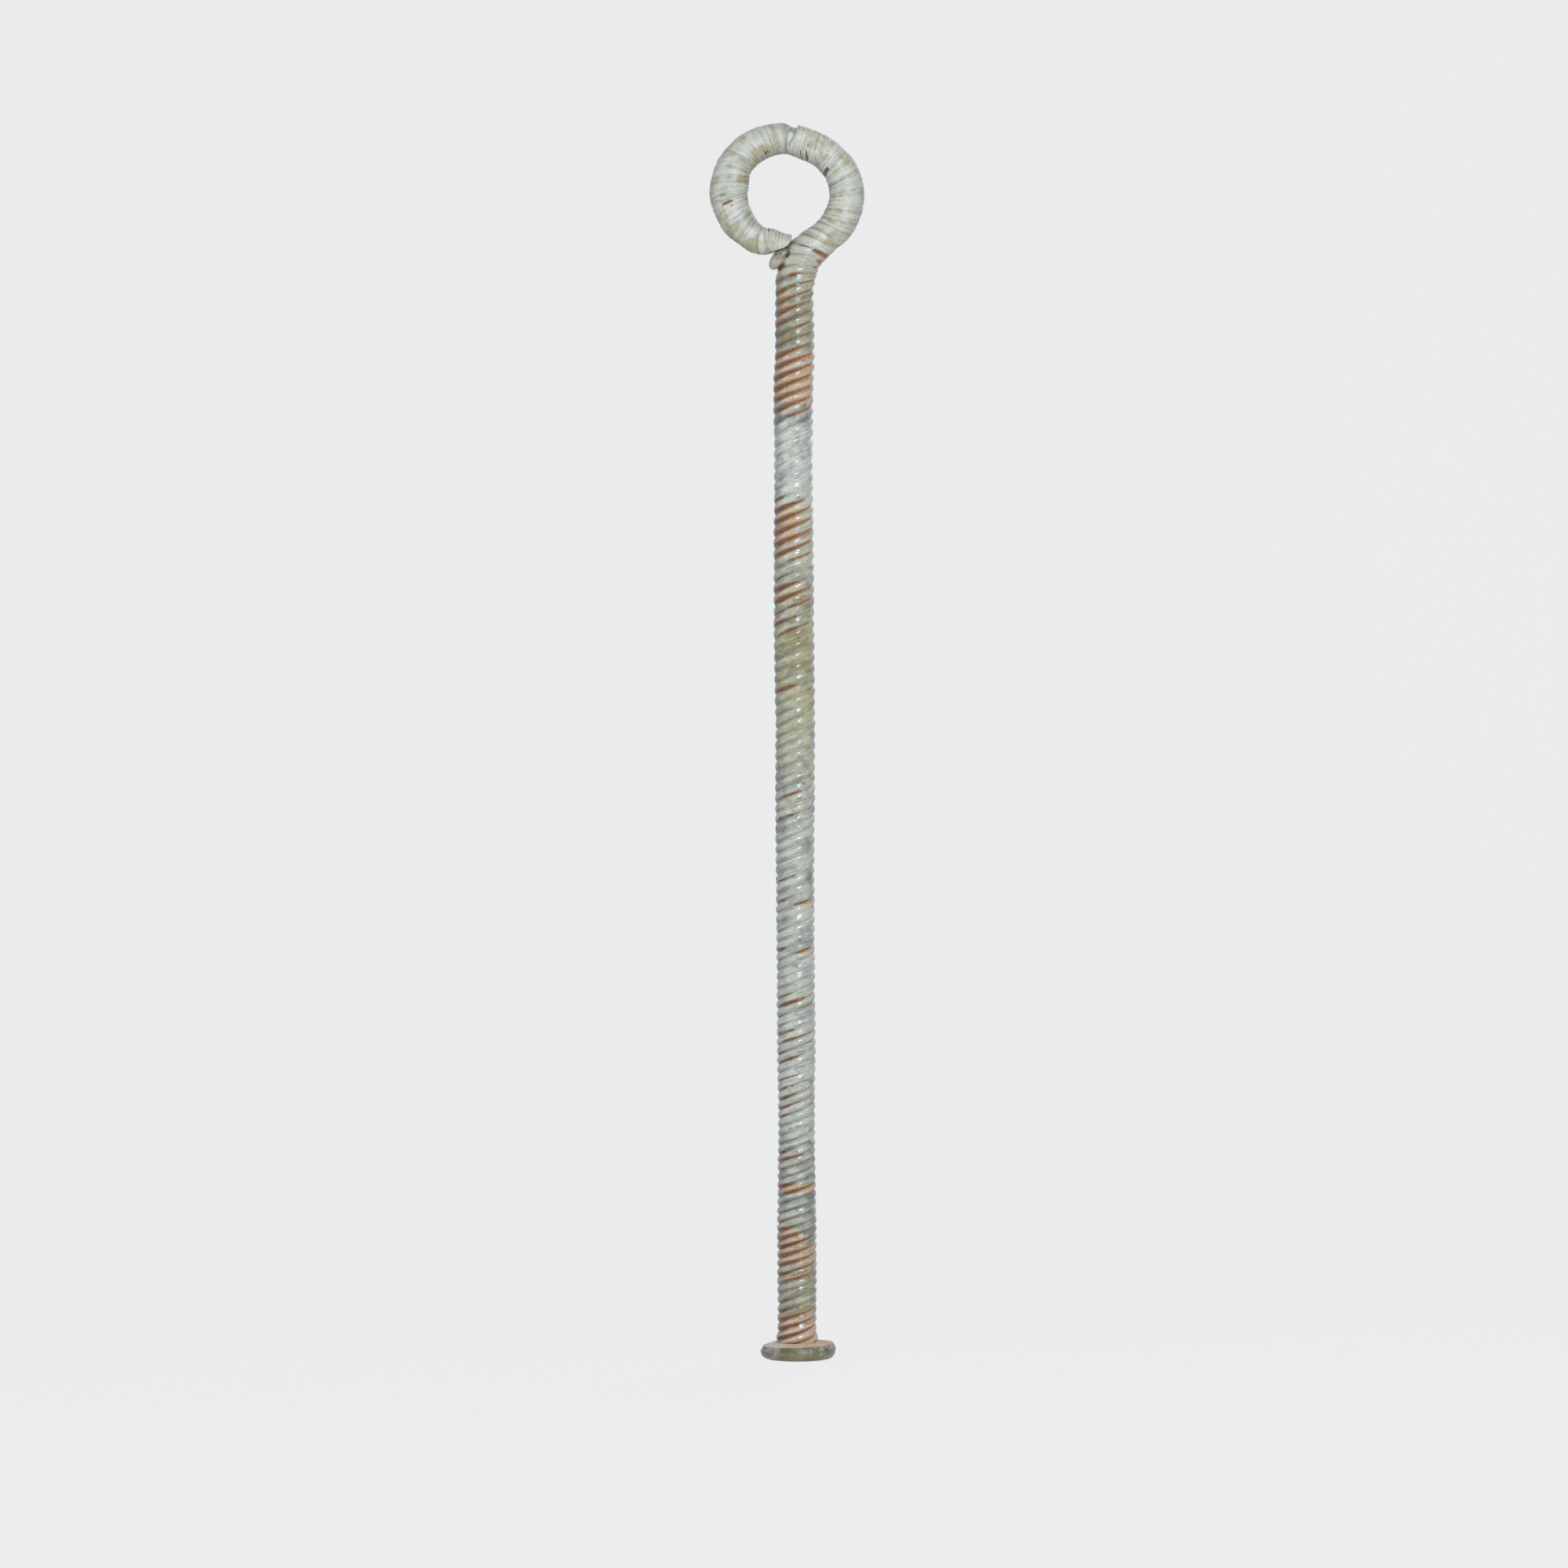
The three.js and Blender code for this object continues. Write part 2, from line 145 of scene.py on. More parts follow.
# How far the glass is covered by its milky skin, by height
MILKY_TONES = (
    (2, 0.2), (12, 0.3), (24, 0.3), (32, 0.3), (42, 0.5), (55, 0.5), (72, 0.5), (85, 0.5), (97, 0.45),
    (110, 0.45), (134, 0.45), (141, 0.5), (146, 0.5), (149, 0.6), (157, 0.65), (159, 0.3), (161, 0),
    (164, 0.1), (168, 0.2), (177, 0.1), (183, 0.2), (187, 0.5), (190, 0.55),
)

# Single marks seen from the front: x, z, half length, half width in millimetres, lean in degrees, strength
SOIL_MARKS = (
    (5.58, 201.5, 1.0, 0.45, 60, 1.0), (4.3, 202.9, 0.35, 0.25, 30, 0.8), (2.35, 204.2, 0.9, 0.22, 95, 1.0),
    (1.45, 204.5, 0.6, 0.2, 100, 0.9), (3.8, 204.0, 0.55, 0.2, 80, 0.8), (2.6, 205.8, 0.35, 0.25, 90, 0.8),
    (-4.5, 204.8, 0.5, 0.3, 40, 0.8), (-5.2, 204.1, 0.4, 0.25, 50, 0.7), (-9.9, 199.4, 0.3, 0.18, 0, 0.9),
    (-8.4, 200.6, 0.8, 0.15, 15, 0.7), (-11.1, 196.2, 0.85, 0.5, 15, 1.1), (-10.4, 195.5, 0.5, 0.3, 60, 0.8),
    (-3.75, 187.9, 0.35, 0.25, 0, 0.9), (-4.2, 191.6, 0.45, 0.3, 20, 0.6),
    (4.6, 187.6, 1.5, 0.5, -18, 1.1), (4.9, 186.4, 0.9, 0.7, 0, 1.0), (3.9, 185.1, 0.5, 0.5, 30, 0.8),
    (0.1, 184.0, 0.9, 0.4, 20, 1.0), (2.9, 183.1, 0.8, 0.25, 22, 1.0), (-2.3, 182.1, 1.2, 0.16, 38, 1.0),
    (-2.0, 180.4, 0.95, 0.5, 30, 1.0), (-1.5, 178.5, 0.9, 0.5, 25, 1.0), (-2.2, 176.4, 0.8, 0.5, 25, 1.0),
    (-0.9, 187.5, 1.5, 0.3, 75, 0.85), (-1.75, 185.7, 1.2, 0.3, 50, 0.85),
)
DARK_MARKS = (
    (5.8, 201.8, 0.6, 0.2, 65, 1.0), (2.5, 204.0, 0.5, 0.15, 95, 0.9), (5.35, 207.3, 0.22, 0.15, 0, 0.9),
    (-11.9, 197.4, 0.35, 0.22, -20, 1.1), (-11.4, 197.55, 0.45, 0.14, 20, 0.8),
    (-7.95, 196.95, 0.35, 0.16, -40, 1.0),
    (-9.4, 193.9, 2.2, 0.1, 43, 0.8), (-8.2, 199.0, 0.5, 0.12, 0, 0.6), (2.3, 188.7, 2.0, 0.16, -14, 1.0),
    (4.0, 187.9, 1.1, 0.18, -20, 0.9), (-0.95, 187.3, 1.4, 0.25, 75, 0.6), (-1.8, 185.6, 1.1, 0.25, 50, 0.6),
    (-10.6, 196.3, 0.4, 0.12, 0, 0.8),
)

# Olive to mustard ground that shows where the pale skin has flaked: x, z, half sizes, lean, strength
STAIN_MARKS = (
    (-5.3, 204.2, 3.6, 1.7, 40, 0.75), (-8.2, 200.6, 2.2, 1.2, 60, 0.6), (-9.8, 205.0, 2.6, 1.6, 50, 0.3),
    (-8.5, 189.6, 4.6, 1.5, -42, 0.85), (-11.8, 194.0, 1.6, 1.5, -70, 0.6),
    (-4.8, 189.6, 2.4, 1.8, -20, 0.5),
    (4.4, 206.0, 3.0, 1.6, -30, 0.6), (8.0, 203.5, 2.0, 1.6, -60, 0.35), (7.2, 193.4, 3.0, 1.3, 30, 0.45),
    (6.4, 190.0, 2.2, 1.0, 40, 0.6), (9.8, 199.5, 3.0, 1.2, 90, 0.3),
    (-0.2, 120.8, 2.2, 0.8, 20, 1.5), (0.6, 117.6, 2.0, 0.7, 20, 1.2), (0.0, 123.0, 2.0, 0.6, 20, 1.0),
    (-1.6, 114.2, 1.2, 0.5, 20, 1.2), (1.3, 128.9, 1.2, 0.6, 20, 1.5), (-0.6, 173.5, 1.6, 0.5, 20, 0.9),
    (0.5, 14.6, 2.0, 0.4, 20, 1.0), (0.3, 11.6, 2.2, 0.4, 20, 1.0), (0.2, 8.4, 2.2, 0.4, 20, 1.0),
)

# Painted shade along the edges of the top break's fill, and a painted shadow at its top
SEAM_SHADE_MARKS = (
    (-0.5, 208.7, 0.9, 0.25, 50, 1.0), (0.0, 208.5, 0.35, 0.3, 0, 0.9), (-1.15, 207.5, 0.9, 0.2, 80, 1.0),
    (-1.2, 206.0, 1.3, 0.2, 92, 1.0), (0.3, 208.0, 1.0, 0.16, 72, 0.8), (-0.25, 206.3, 1.3, 0.16, 71, 0.8),
)


def eased(x, stations):
    """Value at x between stations (place, value), eased in and out at each station: 3s^2 - 2s^3."""
    places, values = np.array(stations, float).T
    x = np.clip(x, places[0], places[-1])
    upper = np.clip(np.searchsorted(places, x), 1, len(places) - 1)
    share = (x - places[upper - 1]) / (places[upper] - places[upper - 1])
    return values[upper - 1] + (values[upper] - values[upper - 1]) * share * share * (3 - 2 * share)


def hole_radius(angle):
    return HOLE_RADIUS + eased(angle, HOLE_UNEVENNESS)


def line_radius(angle):
    return hole_radius(angle) + eased(angle, RING_THICKNESSES) / 2


SHAFT_TOP = FOOT_THICKNESS + SHAFT_LENGTH
RING_X = NECK_REACH - line_radius(RING_START) * math.cos(math.radians(RING_START))
RING_Z = SHAFT_TOP + NECK_RISE - line_radius(RING_START) * math.sin(math.radians(RING_START))
RING_MEAN_RADIUS = HOLE_RADIUS + eased(0, RING_THICKNESSES) / 2


def ring_point(angle, radius):
    """Point (x, z) of the ring's plane at an angle in degrees and a radius about the hole's centre."""
    turn = np.radians(angle)
    return np.stack([RING_X + radius * np.cos(turn), RING_Z + radius * np.sin(turn)], -1)


def neck_line(count=600):
    """Cubic curve from the shaft's top, leaving straight up, to the ring's start along the ring's line."""
    start = np.array([SHAFT_DRIFTS[-1][1], SHAFT_TOP])
    end = ring_point(RING_START, line_radius(RING_START))
    ahead = ring_point(RING_START + 1, line_radius(RING_START + 1))
    behind = ring_point(RING_START - 1, line_radius(RING_START - 1))
    heading = (ahead - behind) / np.linalg.norm(ahead - behind)
    lower = start + (0, NECK_LOWER_PULL)
    upper = end - heading * NECK_UPPER_PULL
    t = np.linspace(0, 1, count)[:, None]
    return (1 - t) ** 3 * start + 3 * (1 - t) ** 2 * t * lower + 3 * (1 - t) * t * t * upper + t ** 3 * end


# The rod's whole line as even tables by the distance along it from the foot's seat
NECK = neck_line()
NECK_STEPS = np.concatenate([[0], np.cumsum(np.linalg.norm(np.diff(NECK, axis=0), axis=1))])
NECK_LENGTH = NECK_STEPS[-1]


def distance_at(angle):
    """Distance along the rod at a ring angle, with the ring's mean radius."""
    return SHAFT_LENGTH + NECK_LENGTH + np.radians(angle - RING_START) * RING_MEAN_RADIUS


def angle_at(distance):
    return RING_START + np.degrees((distance - SHAFT_LENGTH - NECK_LENGTH) / RING_MEAN_RADIUS)


ROD_LENGTH = distance_at(RING_END)
LINE_D = np.linspace(0, ROD_LENGTH, 20001)


def line_tables():
    """Place, heading, thickness, flatness, groove depth and rib count at each entry of LINE_D."""
    place = np.empty((len(LINE_D), 2))
    on_shaft = LINE_D <= SHAFT_LENGTH
    on_ring = LINE_D >= SHAFT_LENGTH + NECK_LENGTH
    on_neck = ~on_shaft & ~on_ring
    share = np.clip(LINE_D / SHAFT_LENGTH, 0, 1)
    place[on_shaft] = np.stack([eased(share, SHAFT_DRIFTS), FOOT_THICKNESS + LINE_D], -1)[on_shaft]
    gone = LINE_D[on_neck] - SHAFT_LENGTH
    for axis in range(2):
        place[on_neck, axis] = np.interp(gone, NECK_STEPS, NECK[:, axis])
    angle = angle_at(LINE_D)
    place[on_ring] = ring_point(angle, line_radius(angle))[on_ring]
    slope = np.gradient(place, axis=0)
    heading = np.unwrap(np.where(on_shaft, math.pi / 2, np.arctan2(slope[:, 1], slope[:, 0])))
    bend = np.clip((LINE_D - SHAFT_LENGTH) / NECK_LENGTH, 0, 1)
    shaft = eased(share, SHAFT_DIAMETERS)
    neck = shaft + (RING_THICKNESSES[0][1] - shaft) * bend + NECK_BULGE * np.sin(math.pi * bend)
    spacing = np.where(on_ring, eased(angle, RING_RIB_SPACINGS), eased(share, RIB_SPACINGS))
    ribs = FIRST_RIB_SHARE + np.concatenate([[0], np.cumsum(LINE_D[1] / spacing[:-1])])
    return {
        "x": place[:, 0],
        "z": place[:, 1],
        "forward": eased(angle, RING_FORWARDS),
        "heading": heading,
        "thickness": np.where(on_ring, eased(angle, RING_THICKNESSES), neck),
        "flatness": 1 + (RING_FLATNESS - 1) * bend,
        "groove": SHAFT_GROOVE + (RING_GROOVE - SHAFT_GROOVE) * bend,
        "ribs": ribs,
        "spacing": spacing,
        "bend": bend,
    }


TABLES = line_tables()


def at(key, distance):
    return np.interp(distance, LINE_D, TABLES[key])


def ripple(turn, distance, waves, seed):
    """Smooth unevenness between -1 and 1: a sum of waves, each with a whole number of turns round the
    rod, so that it has no seam, and its own length along it. waves holds (turns round, length in mm)."""
    random = np.random.default_rng(seed)
    total = np.zeros(np.broadcast(turn, distance).shape)
    for around, length in waves:
        phase = random.uniform(0, 2 * math.pi)
        total += np.sin(around * turn + 2 * math.pi * distance / length + phase)
    return total / len(waves)


def rod_points(distance, turn, reach, inset=0.0, grooved=True):
    """Points on the rod's skin. The section at a distance is an ellipse across the rod's heading, with
    ribs turned by the twist: the radius is less by the groove's depth times 1 - sin(w pi / 2), w being
    the way from valley to crest. reach below 1 is inside the rod."""
    heading = at("heading", distance)
    bend = at("bend", distance)
    gather = turn - 2 * math.pi * at("ribs", distance) / RIBS
    rib = RIBS * gather / (2 * math.pi) + 0.5
    way = 2 * np.abs(rib - np.round(rib))
    wander = ripple(gather, distance, ((1, 23), (2, 41), (-1, 17)), 3)
    depth = at("groove", distance) * (1 - np.sin(way * math.pi / 2)) * grooved
    depth = depth * np.clip(0.85 - 0.35 * bend + (0.3 + 0.9 * bend) * wander, 0, None)
    uneven = ripple(gather, distance, ((3, 31), (5, 19), (7, 26), (9, 37), (11, 43)), 5)
    lumps = ripple(turn, distance, ((1, 13), (2, 9), (-1, 7), (0, 21)), 8) * (1 + np.sin(math.pi * bend))
    radius = at("thickness", distance) / 2 - inset - depth + 0.05 * (uneven + lumps) * grooved
    flattening = at("thickness", distance) / 2 * (1 - at("flatness", distance))
    across = reach * radius * np.cos(turn)
    through = reach * (radius - flattening) * np.sin(turn)
    x = at("x", distance) + across * np.sin(heading)
    z = at("z", distance) - across * np.cos(heading)
    place = np.stack([x, through - at("forward", distance), z], -1)
    drawn = reach * RIBS * at("spacing", distance) / (2 * math.pi)
    gathered = np.stack([drawn * np.cos(gather), drawn * np.sin(gather), distance], -1)
    valley = (1 - way) * grooved
    # Beside the valley goes its painted shade, which reaches farther up the groove's walls at the rod's left
    return place, {"valley": valley, "shaded_groove": valley - GROOVE_SHADE_LEAN * np.cos(turn), "gather": gathered}


def closed_mesh(name, rows, poles, layers):
    """Mesh from rows of points, each row running anticlockwise about the way ahead, closed at both ends
    by a fan to its pole. layers holds a value or a vector for each point and for the two poles."""
    count, columns = rows.shape[:2]
    place = np.concatenate([rows.reshape(-1, 3), poles])
    here = (np.arange(count - 1)[:, None] * columns + np.arange(columns)).ravel()
    beside = (np.arange(count - 1)[:, None] * columns + (np.arange(columns) + 1) % columns).ravel()
    quads = np.stack([here, beside, beside + columns, here + columns], -1)
    first = np.arange(columns)
    after = (first + 1) % columns
    last = (count - 1) * columns
    start_pole = count * columns
    fans = np.concatenate([
        np.stack([np.full(columns, start_pole), after, first], -1),
        np.stack([np.full(columns, start_pole + 1), last + first, last + after], -1),
    ])
    mesh = bpy.data.meshes.new(name)
    mesh.from_pydata(place * MM, [], quads.tolist() + fans.tolist())
    for key, values in layers.items():
        vector = values.ndim == 2
        layer = mesh.attributes.new(key, "FLOAT_VECTOR" if vector else "FLOAT", "POINT")
        layer.data.foreach_set("vector" if vector else "value", values.astype(np.float32).ravel())
    mesh.shade_smooth()
    mesh.update()
    piece = bpy.data.objects.new(name, mesh)
    bpy.context.scene.collection.objects.link(piece)
    return piece


def marked(place, marks):
    """Strength of the marks at each point, on the front alone: the strongest of them, each 1 / (1 + f^4)
    with f the way out from its middle in half sizes."""
    x, z = place[:, 0], place[:, 2]
    amount = np.zeros(len(place))
    for middle_x, middle_z, half_length, half_width, lean, strength in marks:
        cos, sin = math.cos(math.radians(lean)), math.sin(math.radians(lean))
        along = ((x - middle_x) * cos + (z - middle_z) * sin) / half_length
        across = ((z - middle_z) * cos - (x - middle_x) * sin) / half_width
        amount = np.maximum(amount, strength / (1 + (along ** 2 + across ** 2) ** 2))
    return amount * np.clip(0.5 - place[:, 1], 0, 1)


def zoned_soil(place):
    """Strength of the soil by height: the strongest of the zones, each a rounded step that leans to one
    side of the rod."""
    x, z = place[:, 0], place[:, 2]
    amount = np.zeros(len(place))
    for height, half, strength, side in SOIL_ZONES:
        fade = 1 / (1 + (np.abs(z - height) / half) ** 4)
        favour = 1 - abs(side) / 4 + side / 3 * np.clip(x / 3, -1, 1)
        amount = np.maximum(amount, strength * fade * favour)
    return amount


def column_turns(columns):
    """Turns of a rib's columns, repeated for each rib: even steps bent towards the valleys, where the
    skin folds most, by taking part of a sine wave off them."""
    step = np.arange(columns) / columns * RIBS
    way = step - 0.1 * np.sin(2 * math.pi * step)
    return 2 * math.pi * (way - 0.5) / RIBS


def glass_piece(name, start, end, row_step, columns, inset=0.0, grooved=True, cap_rows=5):
    """Stretch of the rod as a closed skin. start and end give the distance along the rod at each share
    across it, from the ring's inner edge to its outer one, so a break can slant or bow. The caps are
    rings that shrink to a pole in the middle."""
    middle = np.array([0.5])
    ends = np.array([start(middle)[0], end(middle)[0]])
    body_rows = max(3, int((ends[1] - ends[0]) / row_step))
    shrink = np.linspace(0.12, 1, cap_rows + 1)[:-1]
    reach = np.concatenate([shrink, np.ones(body_rows), shrink[::-1]])[:, None] * np.ones(columns)
    t = np.concatenate([np.zeros(cap_rows), np.linspace(0, 1, body_rows), np.ones(cap_rows)])[:, None]
    follow = 2 * math.pi * at("ribs", np.minimum(ends[0] + (ends[1] - ends[0]) * t, SHAFT_LENGTH)) / RIBS
    turn = column_turns(columns) + follow
    share = (1 + reach * np.cos(turn)) / 2
    distance = start(share) * (1 - t) + end(share) * t
    place, layers = rod_points(distance, turn, reach, inset, grooved)
    poles = np.stack([at("x", ends), -at("forward", ends), at("z", ends)], -1)
    both = np.concatenate([place.reshape(-1, 3), poles])
    pole_gather = np.stack([0 * ends, 0 * ends, ends], -1)
    layers = {
        "gather": np.concatenate([layers["gather"].reshape(-1, 3), pole_gather]) * MM,
        "valley": np.concatenate([layers["valley"].ravel(), [0, 0]]),
        "shaded_groove": np.concatenate([layers["shaded_groove"].ravel(), [0, 0]]),
        "soil": np.maximum(zoned_soil(both), marked(both, SOIL_MARKS)),
        "dark": marked(both, DARK_MARKS),
        "olive": eased(both[:, 2], OLIVE_TONES),
        "milky": eased(both[:, 2], MILKY_TONES),
        "stain": marked(both, STAIN_MARKS),
        # Painted shade along the top break's fill and a painted shadow at its top
        "seam": marked(both, SEAM_SHADE_MARKS),
        "ring": np.concatenate([at("bend", distance).ravel(), at("bend", ends)]),
    }
    return closed_mesh(name, place, poles, layers)


def square_face(distance):
    """Face straight across the glass: the same distance along the rod at every share across it."""
    def face(share):
        return distance + 0 * share
    return face


def broken_face(places, shift=0.0):
    """Distance along the rod at each share across the glass, on a curve through the break's three places:
    inner edge, middle and outer edge."""
    inner, middle, outer = places
    bow = 4 * (middle - (inner + outer) / 2)

    def face(share):
        return distance_at(inner + (outer - inner) * share + bow * share * (1 - share)) + shift
    return face


def plane_through(angle, radius, slope):
    """Plane across the ring, as a place (x, z) on it and its upward normal."""
    return ring_point(angle, radius), np.array([-math.sin(slope), math.cos(slope)])


SLANT_BREAK = plane_through(
    SLANT_BREAK_ANGLE, hole_radius(SLANT_BREAK_ANGLE) + SLANT_BREAK_DEPTH, SLANT_BREAK_SLOPE
)
CHIP = plane_through(CHIP_ANGLE, CHIP_REACH, CHIP_SLOPE)


def edit_points(piece, change):
    """Replaces a mesh's points, taken as an array in millimetres, by what change gives for them."""
    points = np.empty(len(piece.data.vertices) * 3, np.float32)
    piece.data.vertices.foreach_get("co", points)
    points = change(points.reshape(-1, 3).astype(float) / MM) * MM
    piece.data.vertices.foreach_set("co", points.astype(np.float32).ravel())
    piece.data.update()


def keep_above(points, plane, gap):
    """Points that are not the gap above a plane are raised straight up to it."""
    place, normal = plane
    height = (points[:, [0, 2]] - place) @ normal
    points[:, 2] += np.where(height < gap, (gap - height) / normal[1], 0)
    return points


def keep_below(points, plane, gap):
    place, normal = plane
    height = (points[:, [0, 2]] - place) @ normal
    points[:, 2] -= np.where(height > -gap, (height + gap) / normal[1], 0)
    return points


def keep_off_neck(points, gap):
    """Points closer to the neck's line than its radius and a gap are pushed out from the line."""
    near = np.linspace(SHAFT_LENGTH - NECK_LENGTH, distance_at(RING_START) + NECK_LENGTH, 300)
    line = np.stack([at("x", near), 0 * near, at("z", near)], -1)
    away = points[:, None, :] - line[None]
    length = np.linalg.norm(away, axis=-1)
    nearest = np.argmin(length - at("thickness", near) / 2, axis=1)
    rows = np.arange(len(points))
    reach = at("thickness", near)[nearest] / 2 + gap
    short = np.clip(reach - length[rows, nearest], 0, None)
    return points + away[rows, nearest] / length[rows, nearest][:, None] * short[:, None]


def keep_within_reach(points, reach):
    """Points farther from the hole's middle than the reach are drawn straight in to it."""
    from_middle = points[:, [0, 2]] - (RING_X, RING_Z)
    far = np.linalg.norm(from_middle, axis=1)
    points[:, [0, 2]] = (RING_X, RING_Z) + from_middle * np.minimum(1, reach / far)[:, None]
    return points


def linear(code):
    """Hex sRGB colour as linear red, green, blue and 1."""
    parts = [int(code[i:i + 2], 16) / 255 for i in (1, 3, 5)]
    return (*[v / 12.92 if v <= 0.04045 else ((v + 0.055) / 1.055) ** 2.4 for v in parts], 1)


def add(tree, kind, inputs=None, output=0, **settings):
    """Adds a node with its settings and links, and gives one of its outputs. Each input is a value, or
    the output of another node to link from."""
    made = tree.nodes.new(kind)
    for key, value in settings.items():
        setattr(made, key, value)
    for key, value in (inputs or {}).items():
        if isinstance(value, bpy.types.NodeSocket):
            tree.links.new(value, made.inputs[key])
        else:
            made.inputs[key].default_value = value
    return made.outputs[output]


def per_size(millimetres):
    """Scale of a noise on metres whose features are this size."""
    return 1 / (millimetres * MM)


def new_material(name):
    material = bpy.data.materials.new(name)
    material.use_nodes = True
    tree = material.node_tree
    return material, tree, tree.nodes["Principled BSDF"]


def weathered_glass(name):
    """Soda-lime glass, hot-twisted and long buried: grey to olive glass under a thin skin that has gone
    milky and flakes off in ragged patches, drawn out along the twist. Orange-brown soil lies over some
    ribs, with painted shade in the grooves, deeper at the rod's left, and filmed over with grey on the
    crests, a film laid on more at the right, where it is partly painted sheen. Painted light brightens
    the grooves of the milky stretches. The skin splits light, so that the highlights turn blue and lilac."""
    material, tree, shader = new_material(name)
    gather = add(tree, "ShaderNodeAttribute", output="Vector", attribute_name="gather")
    valley = add(tree, "ShaderNodeAttribute", output="Fac", attribute_name="valley")
    # Painted shade of the grooves, reaching farther up their walls at the rod's left
    shaded_groove = add(tree, "ShaderNodeAttribute", output="Fac", attribute_name="shaded_groove")
    soil = add(tree, "ShaderNodeAttribute", output="Fac", attribute_name="soil")
    dark = add(tree, "ShaderNodeAttribute", output="Fac", attribute_name="dark")
    olive = add(tree, "ShaderNodeAttribute", output="Fac", attribute_name="olive")
    milky = add(tree, "ShaderNodeAttribute", output="Fac", attribute_name="milky")
    stain = add(tree, "ShaderNodeAttribute", output="Fac", attribute_name="stain")
    ring = add(tree, "ShaderNodeAttribute", output="Fac", attribute_name="ring")

    # Lines drawn ten times as long as they are wide, mottles three times, and patches that are round
    place = add(tree, "ShaderNodeTexCoord", output="Object")
    drawn = add(tree, "ShaderNodeMapping", {"Vector": gather, "Scale": (1, 1, 0.1)})
    pulled = add(tree, "ShaderNodeMapping", {"Vector": gather, "Scale": (1, 1, 0.3)})
    striae = add(tree, "ShaderNodeTexNoise", {"Vector": drawn, "Scale": per_size(0.35), "Detail": 3.0})
    streaks = add(tree, "ShaderNodeTexNoise", {"Vector": drawn, "Scale": per_size(0.9), "Detail": 2.0})
    mottles = add(tree, "ShaderNodeTexNoise",
                  {"Vector": pulled, "Scale": per_size(0.9), "Detail": 4.0, "Roughness": 0.65})
    patches = add(tree, "ShaderNodeTexNoise", {"Vector": place, "Scale": per_size(3.0), "Detail": 3.0})
    ragged = add(tree, "ShaderNodeTexNoise", {"Vector": place, "Scale": per_size(1.4), "Detail": 6.0})
    grains = add(tree, "ShaderNodeTexNoise", {"Vector": place, "Scale": per_size(0.3), "Detail": 3.0})

    # Patches where the skin has flaked
    flaked = add(tree, "ShaderNodeMath", {0: stain, 1: 0.5, 2: ragged}, operation="MULTIPLY_ADD")
    flaked = add(tree, "ShaderNodeMath", {0: striae, 1: 0.7, 2: flaked}, operation="MULTIPLY_ADD")
    flaked = add(tree, "ShaderNodeMapRange",
                 {"Value": flaked, "From Min": 1.02, "From Max": 1.2, "To Max": 0.7})

    # Shaft: the skin over the glass, both more olive in places, and mustard where it has flaked
    tint = add(tree, "ShaderNodeMath", {0: patches, 1: 1.0, 2: olive}, operation="MULTIPLY_ADD")
    tint = add(tree, "ShaderNodeMapRange", {"Value": tint, "From Min": 0.5, "From Max": 1.5})
    glass = add(tree, "ShaderNodeMix", {0: tint, 6: linear("#8C9189"), 7: linear("#918A5C")}, 2,
                data_type="RGBA")
    skin = add(tree, "ShaderNodeMix", {0: tint, 6: linear("#DCE2D9"), 7: linear("#C2BF92")}, 2,
               data_type="RGBA")
    covered = add(tree, "ShaderNodeMath", {0: mottles, 1: 2.0, 2: milky}, operation="MULTIPLY_ADD")
    covered = add(tree, "ShaderNodeMath", {0: patches, 1: 2.0, 2: covered}, operation="MULTIPLY_ADD")
    covered = add(tree, "ShaderNodeMath", {0: ragged, 1: 1.8, 2: covered}, operation="MULTIPLY_ADD")
    covered = add(tree, "ShaderNodeMath", {0: striae, 1: 1.2, 2: covered}, operation="MULTIPLY_ADD")
    covered = add(tree, "ShaderNodeMath", {0: valley, 1: -0.2, 2: covered}, operation="MULTIPLY_ADD")
    covered = add(tree, "ShaderNodeMapRange", {"Value": covered, "From Min": 3.15, "From Max": 4.15})
    shaft = add(tree, "ShaderNodeMix", {0: covered, 6: glass, 7: skin}, 2, data_type="RGBA")
    shaft = add(tree, "ShaderNodeMix", {0: flaked, 6: shaft, 7: linear("#958B50")}, 2, data_type="RGBA")
    # Painted light in the grooves of the milky stretches, standing in for light that passes through the
    # glass and fills them
    groove_light_mask = add(tree, "ShaderNodeMath", {0: valley, 1: milky}, operation="MULTIPLY")
    painted_groove_light = add(tree, "ShaderNodeMapRange",
               {"Value": groove_light_mask, "From Min": 0.25, "From Max": 0.9, "To Max": 0.7})
    shaft = add(tree, "ShaderNodeMix", {0: painted_groove_light, 6: shaft, 7: linear("#E6ECE8")}, 2, data_type="RGBA")

    # Ring: a pale skin over an olive-beige ground that shows in bands and where the skin has flaked
    hoop = add(tree, "ShaderNodeMapRange", {"Value": patches, "From Min": 0.35, "From Max": 0.65})
    hoop = add(tree, "ShaderNodeMix", {0: hoop, 6: linear("#CED1C5"), 7: linear("#DDE0D6")}, 2,
               data_type="RGBA")
    band = add(tree, "ShaderNodeMath", {0: ragged, 1: 1.0, 2: streaks}, operation="MULTIPLY_ADD")
    band = add(tree, "ShaderNodeMath", {0: striae, 1: 0.8, 2: band}, operation="MULTIPLY_ADD")
    band = add(tree, "ShaderNodeMapRange",
               {"Value": band, "From Min": 1.36, "From Max": 1.66, "To Max": 0.75})
    hoop = add(tree, "ShaderNodeMix", {0: band, 6: hoop, 7: linear("#A8A78C")}, 2, data_type="RGBA")
    hoop = add(tree, "ShaderNodeMix", {0: flaked, 6: hoop, 7: linear("#B3AB80")}, 2, data_type="RGBA")
    glass = add(tree, "ShaderNodeMix", {0: ring, 6: shaft, 7: hoop}, 2, data_type="RGBA")
